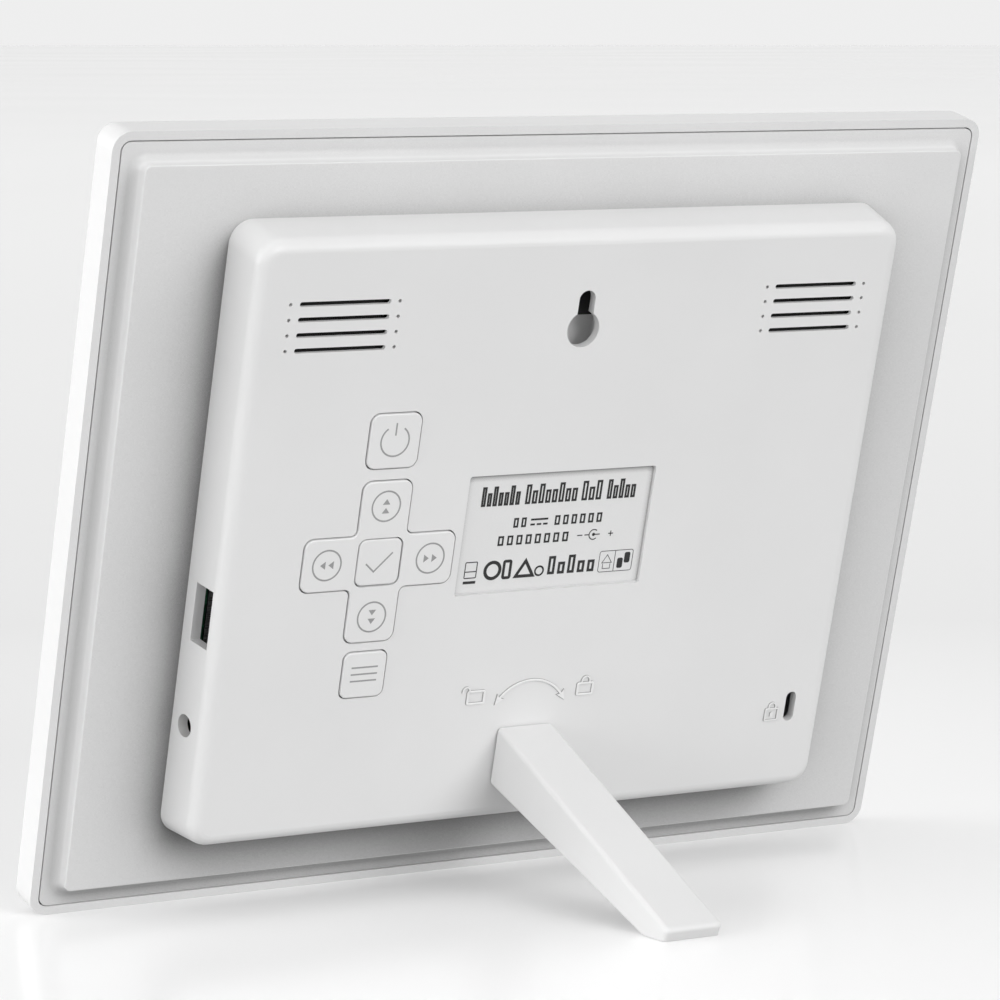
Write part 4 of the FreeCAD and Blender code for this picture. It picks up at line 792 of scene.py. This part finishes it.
# ---- Label ----
class FRAME_OT_label(bpy.types.Operator):
    """Dresses the label and prints its rows of placeholder boxes and symbols"""
    bl_idname = "photo_frame.label"
    bl_label = "Label"

    def execute(self, context):
        label = context.scene.frame_label
        film = moulded("label_white", label.film, 0.34, 0.0006, 0.000003, 0.01)
        # Painted shade: the label film darkens along the recess walls that stand over it.
        film.paint_corner_shade(LABEL_SHADE, LABEL_SHADE_REACH, own=False)
        dress("label_plate", film)
        ink = moulded("label_ink", label.ink, 0.62, 0.0001, 0.000003, 0.3)
        self.mesh = bmesh.new()
        self.title(label.title_height / MM)
        self.rating(label.row_height / MM)
        self.polarity(label.row_height / MM)
        self.symbols(label.symbol_height / MM)
        panel_piece("label_print", self.mesh, LABEL_TOP, ink, "frame")
        return {"FINISHED"}

    def line(self, points, width, closed=False):
        """A printed line."""
        half = width / 2
        section = ((-half, -PRINT_SINK), (half, -PRINT_SINK),
                   (half, PRINT_PROUD), (-half, PRINT_PROUD))
        stroke(self.mesh, points, section, closed)

    def fill(self, outline):
        """A printed patch."""
        slab(self.mesh, outline, -PRINT_SINK, PRINT_PROUD)

    def words(self, spans, base, tall, small, width, fill_share=0.62):
        """Rows of empty boxes: the first box of each word is tall, and some of the others are."""
        for start, end, count in spans:
            pitch = (end - start) / count
            for index in range(count):
                height = tall if index == 0 or index % 3 == 2 else small
                edge = start + index * pitch + pitch * (1 - fill_share) / 2
                left, right = edge + width / 2, edge + pitch * fill_share - width / 2
                low, high = base + width / 2, base + height - width / 2
                self.line([(left, low), (right, low), (right, high), (left, high)], width, True)

    def title(self, height):
        """The tall row at the top."""
        spans = ((-18.4, -8.8, 7), (-7.8, 5.2, 8), (6.0, 11.2, 3), (12.3, 19.6, 5))
        self.words(spans, 6.1, height, height * 0.68, 0.5, 0.78)

    def rating(self, height):
        """The upper small row, with the sign for direct current."""
        self.words(((-10.0, -6.2, 2), (0.0, 12.4, 6)), 1.0, height, height, ROW_LINE)
        self.line([(-5.5, 2.55), (-1.3, 2.55)], ROW_LINE)
        for start in (-5.5, -3.95, -2.4):
            self.line([(start, 1.45), (start + 1.1, 1.45)], ROW_LINE)

    def polarity(self, height):
        """The lower small row, with the sign for the plug's polarity."""
        self.words(((-13.3, 4.7, 8),), -2.85, height, height, ROW_LINE)
        self.line([(6.5, -1.75), (7.8, -1.75)], FINE_LINE)
        self.line([(8.3, -1.75), (9.45, -1.75)], FINE_LINE)
        self.line(arc((10.55, -1.75), 1.1, 50, 310, 30), FINE_LINE)
        self.fill(ring((10.55, -1.75), 0.36, 16))
        self.line([(10.55, -1.75), (12.1, -1.75)], FINE_LINE)
        self.line([(14.2, -1.75), (15.4, -1.75)], FINE_LINE)
        self.line([(14.8, -2.35), (14.8, -1.15)], FINE_LINE)

    def symbols(self, height):
        """Shapes in place of the approval marks.

        The bar under the first one and the whole of the last one, a house in a two-part box
        beside two patches, still look like the marks that they stand for.
        """
        base = -10.4
        top = base + height
        self.line(rounded_box(-19.9, -17.1, -9.6, top, 0.2, 3), FINE_LINE, True)
        self.line([(-19.9, -8.2), (-17.1, -8.2)], FINE_LINE)
        self.fill([(-20.0, -10.9), (-17.0, -10.9), (-17.0, -10.3), (-20.0, -10.3)])
        self.line(ring((-13.2, base + height / 2), height / 2 - 0.35, 40), 0.75, True)
        self.line(rounded_box(-10.5, -8.9, base + 0.3, top - 0.3, 0.3, 4), 0.65, True)
        self.line([(-7.4, base + 0.4), (-5.3, top - 0.5), (-3.2, base + 0.4)], 0.7, True)
        self.line(ring((-1.7, base + 1.3), 1.0, 30), 0.4, True)
        self.words(((0.0, 12.2, 5),), base + 0.3, height - 0.2, height * 0.62, 0.6, 0.7)
        self.line(rounded_box(12.95, 21.25, base - 0.05, top + 0.35, 0.5, 4), HAIR_LINE, True)
        self.line([(16.8, base), (16.8, top + 0.3)], HAIR_LINE)
        self.line([(13.7, -8.4), (14.9, -6.6), (16.1, -8.4)], HAIR_LINE, True)
        self.line([(14.0, -8.6), (14.0, -9.7), (15.8, -9.7), (15.8, -8.6)], HAIR_LINE)
        self.fill(rounded_box(17.5, 18.9, base + 0.6, base + 2.9, 0.4, 4))
        self.fill(rounded_box(19.2, 20.6, base + 1.7, top - 0.2, 0.4, 4))


# ---- Stage ----
class FRAME_OT_stage(bpy.types.Operator):
    """Lays the floor, lights the scene and sets the camera"""
    bl_idname = "photo_frame.stage"
    bl_label = "Stage"

    def execute(self, context):
        stage = context.scene.frame_stage
        self.floor(context, stage)
        self.surroundings(context, stage)
        self.sun(context, "key_light", stage.key_strength)
        self.sun(context, "fill_light", stage.fill_strength)
        self.sun(context, "edge_light", stage.edge_strength)
        self.camera(context, stage)
        context.scene.view_settings.view_transform = "Standard"
        return {"FINISHED"}

    def floor(self, context, stage):
        """A wide round floor with painted light: it glows faintly near the frame."""
        mesh = bmesh.new()
        bmesh.ops.create_circle(mesh, cap_ends=True, cap_tris=False, radius=30.0, segments=96)
        data = bpy.data.meshes.new("floor")
        mesh.to_mesh(data)
        mesh.free()
        piece = bpy.data.objects.new("floor", data)
        piece.location.z = -0.0001
        context.scene.collection.objects.link(piece)
        finish = Finish("floor_white")
        finish.tint(finish.noise(2.0, 1.0), shade(stage.floor, 0.998), stage.floor)
        finish.gloss(finish.noise(1.5, 1.0), 0.17, 0.19)
        finish.set(Specular_IOR_Level=0.22, Emission_Color=(1.0, 1.0, 1.0, 1.0))
        # Painted light: emission that is strongest near the frame and fades outwards.
        reach = finish.node("ShaderNodeVectorMath", operation="LENGTH")
        finish.link(finish.place, reach.inputs[0])
        glow = finish.node("ShaderNodeMapRange")
        for key, value in (("From Min", 0.12), ("From Max", 0.45),
                           ("To Min", 0.16), ("To Max", 0.01)):
            glow.inputs[key].default_value = value
        finish.link(reach.outputs["Value"], glow.inputs["Value"])
        finish.link(glow.outputs["Result"], finish.shader.inputs["Emission Strength"])
        data.materials.append(finish.material)
        piece.visible_diffuse = False

    def surroundings(self, context, stage):
        """Light from all round, brightest at the horizon and darkest from below."""
        world = bpy.data.worlds.new("surroundings")
        context.scene.world = world
        world.use_nodes = True
        nodes = world.node_tree.nodes
        links = world.node_tree.links
        place = nodes.new("ShaderNodeTexCoord")
        apart = nodes.new("ShaderNodeSeparateXYZ")
        spread = nodes.new("ShaderNodeMapRange")
        spread.inputs["From Min"].default_value = -1.0
        spread.inputs["From Max"].default_value = 1.0
        band = nodes.new("ShaderNodeValToRGB")
        elements = band.color_ramp.elements
        while len(elements) < len(SKY_BANDS):
            elements.new(0.5)
        for element, (position, share) in zip(elements, SKY_BANDS):
            element.position = position
            element.color = (*shade(stage.sky, share), 1.0)
        links.new(place.outputs["Generated"], apart.inputs["Vector"])
        links.new(apart.outputs["Z"], spread.inputs["Value"])
        links.new(spread.outputs["Result"], band.inputs["Fac"])
        links.new(band.outputs["Color"], nodes["Background"].inputs["Color"])

    def sun(self, context, name, strength):
        """A distant light from its direction in LIGHTS."""
        source, softness = LIGHTS[name]
        data = bpy.data.lights.new(name, "SUN")
        data.angle = math.radians(softness)
        data.energy = strength
        lamp = bpy.data.objects.new(name, data)
        lamp.rotation_mode = "QUATERNION"
        lamp.rotation_quaternion = (-Vector(source)).to_track_quat("-Z", "Y")
        context.scene.collection.objects.link(lamp)

    def camera(self, context, stage):
        """Looks at the back from a little above, off to one side."""
        azimuth = math.radians(148.87)
        elevation = math.radians(6.20)
        distance = 0.93225
        aim = Vector((0.00487, -0.01864, 0.08236))
        level = math.cos(elevation)
        back = Vector((math.sin(azimuth) * level, -math.cos(azimuth) * level, math.sin(elevation)))
        data = bpy.data.cameras.new("camera")
        data.sensor_width = 36.0
        data.lens = stage.lens
        camera = bpy.data.objects.new("camera", data)
        camera.location = aim + back * distance
        camera.rotation_mode = "QUATERNION"
        camera.rotation_quaternion = (-back).to_track_quat("-Z", "Y")
        context.scene.collection.objects.link(camera)
        context.scene.camera = camera


OPERATORS = (FRAME_OT_casing, FRAME_OT_screen, FRAME_OT_boards, FRAME_OT_sockets, FRAME_OT_speakers,
             FRAME_OT_keys, FRAME_OT_marks, FRAME_OT_label, FRAME_OT_stage)


class FRAME_PT_panel(bpy.types.Panel):
    """Lists the settings and what they make"""
    bl_idname = "FRAME_PT_panel"
    bl_label = "Photo frame"
    bl_space_type = "VIEW_3D"
    bl_region_type = "UI"
    bl_category = "Photo frame"

    def draw(self, context):
        for name, group in SETTINGS:
            box = self.layout.box()
            for key in group.__annotations__:
                box.prop(getattr(context.scene, name), key)
        for operator in OPERATORS:
            self.layout.operator(operator.bl_idname)


def register():
    for name, group in SETTINGS:
        bpy.utils.register_class(group)
        setattr(bpy.types.Scene, name, bpy.props.PointerProperty(type=group))
    for made in (*OPERATORS, FRAME_PT_panel):
        bpy.utils.register_class(made)


def unregister():
    for made in reversed((*OPERATORS, FRAME_PT_panel)):
        bpy.utils.unregister_class(made)
    for name, group in reversed(SETTINGS):
        delattr(bpy.types.Scene, name)
        bpy.utils.unregister_class(group)


def main():
    register()
    bpy.ops.photo_frame.casing()
    bpy.ops.photo_frame.screen()
    bpy.ops.photo_frame.boards()
    bpy.ops.photo_frame.sockets()
    bpy.ops.photo_frame.speakers()
    bpy.ops.photo_frame.keys()
    bpy.ops.photo_frame.marks()
    bpy.ops.photo_frame.label()
    bpy.ops.photo_frame.stage()


if __name__ == "__main__":
    main()
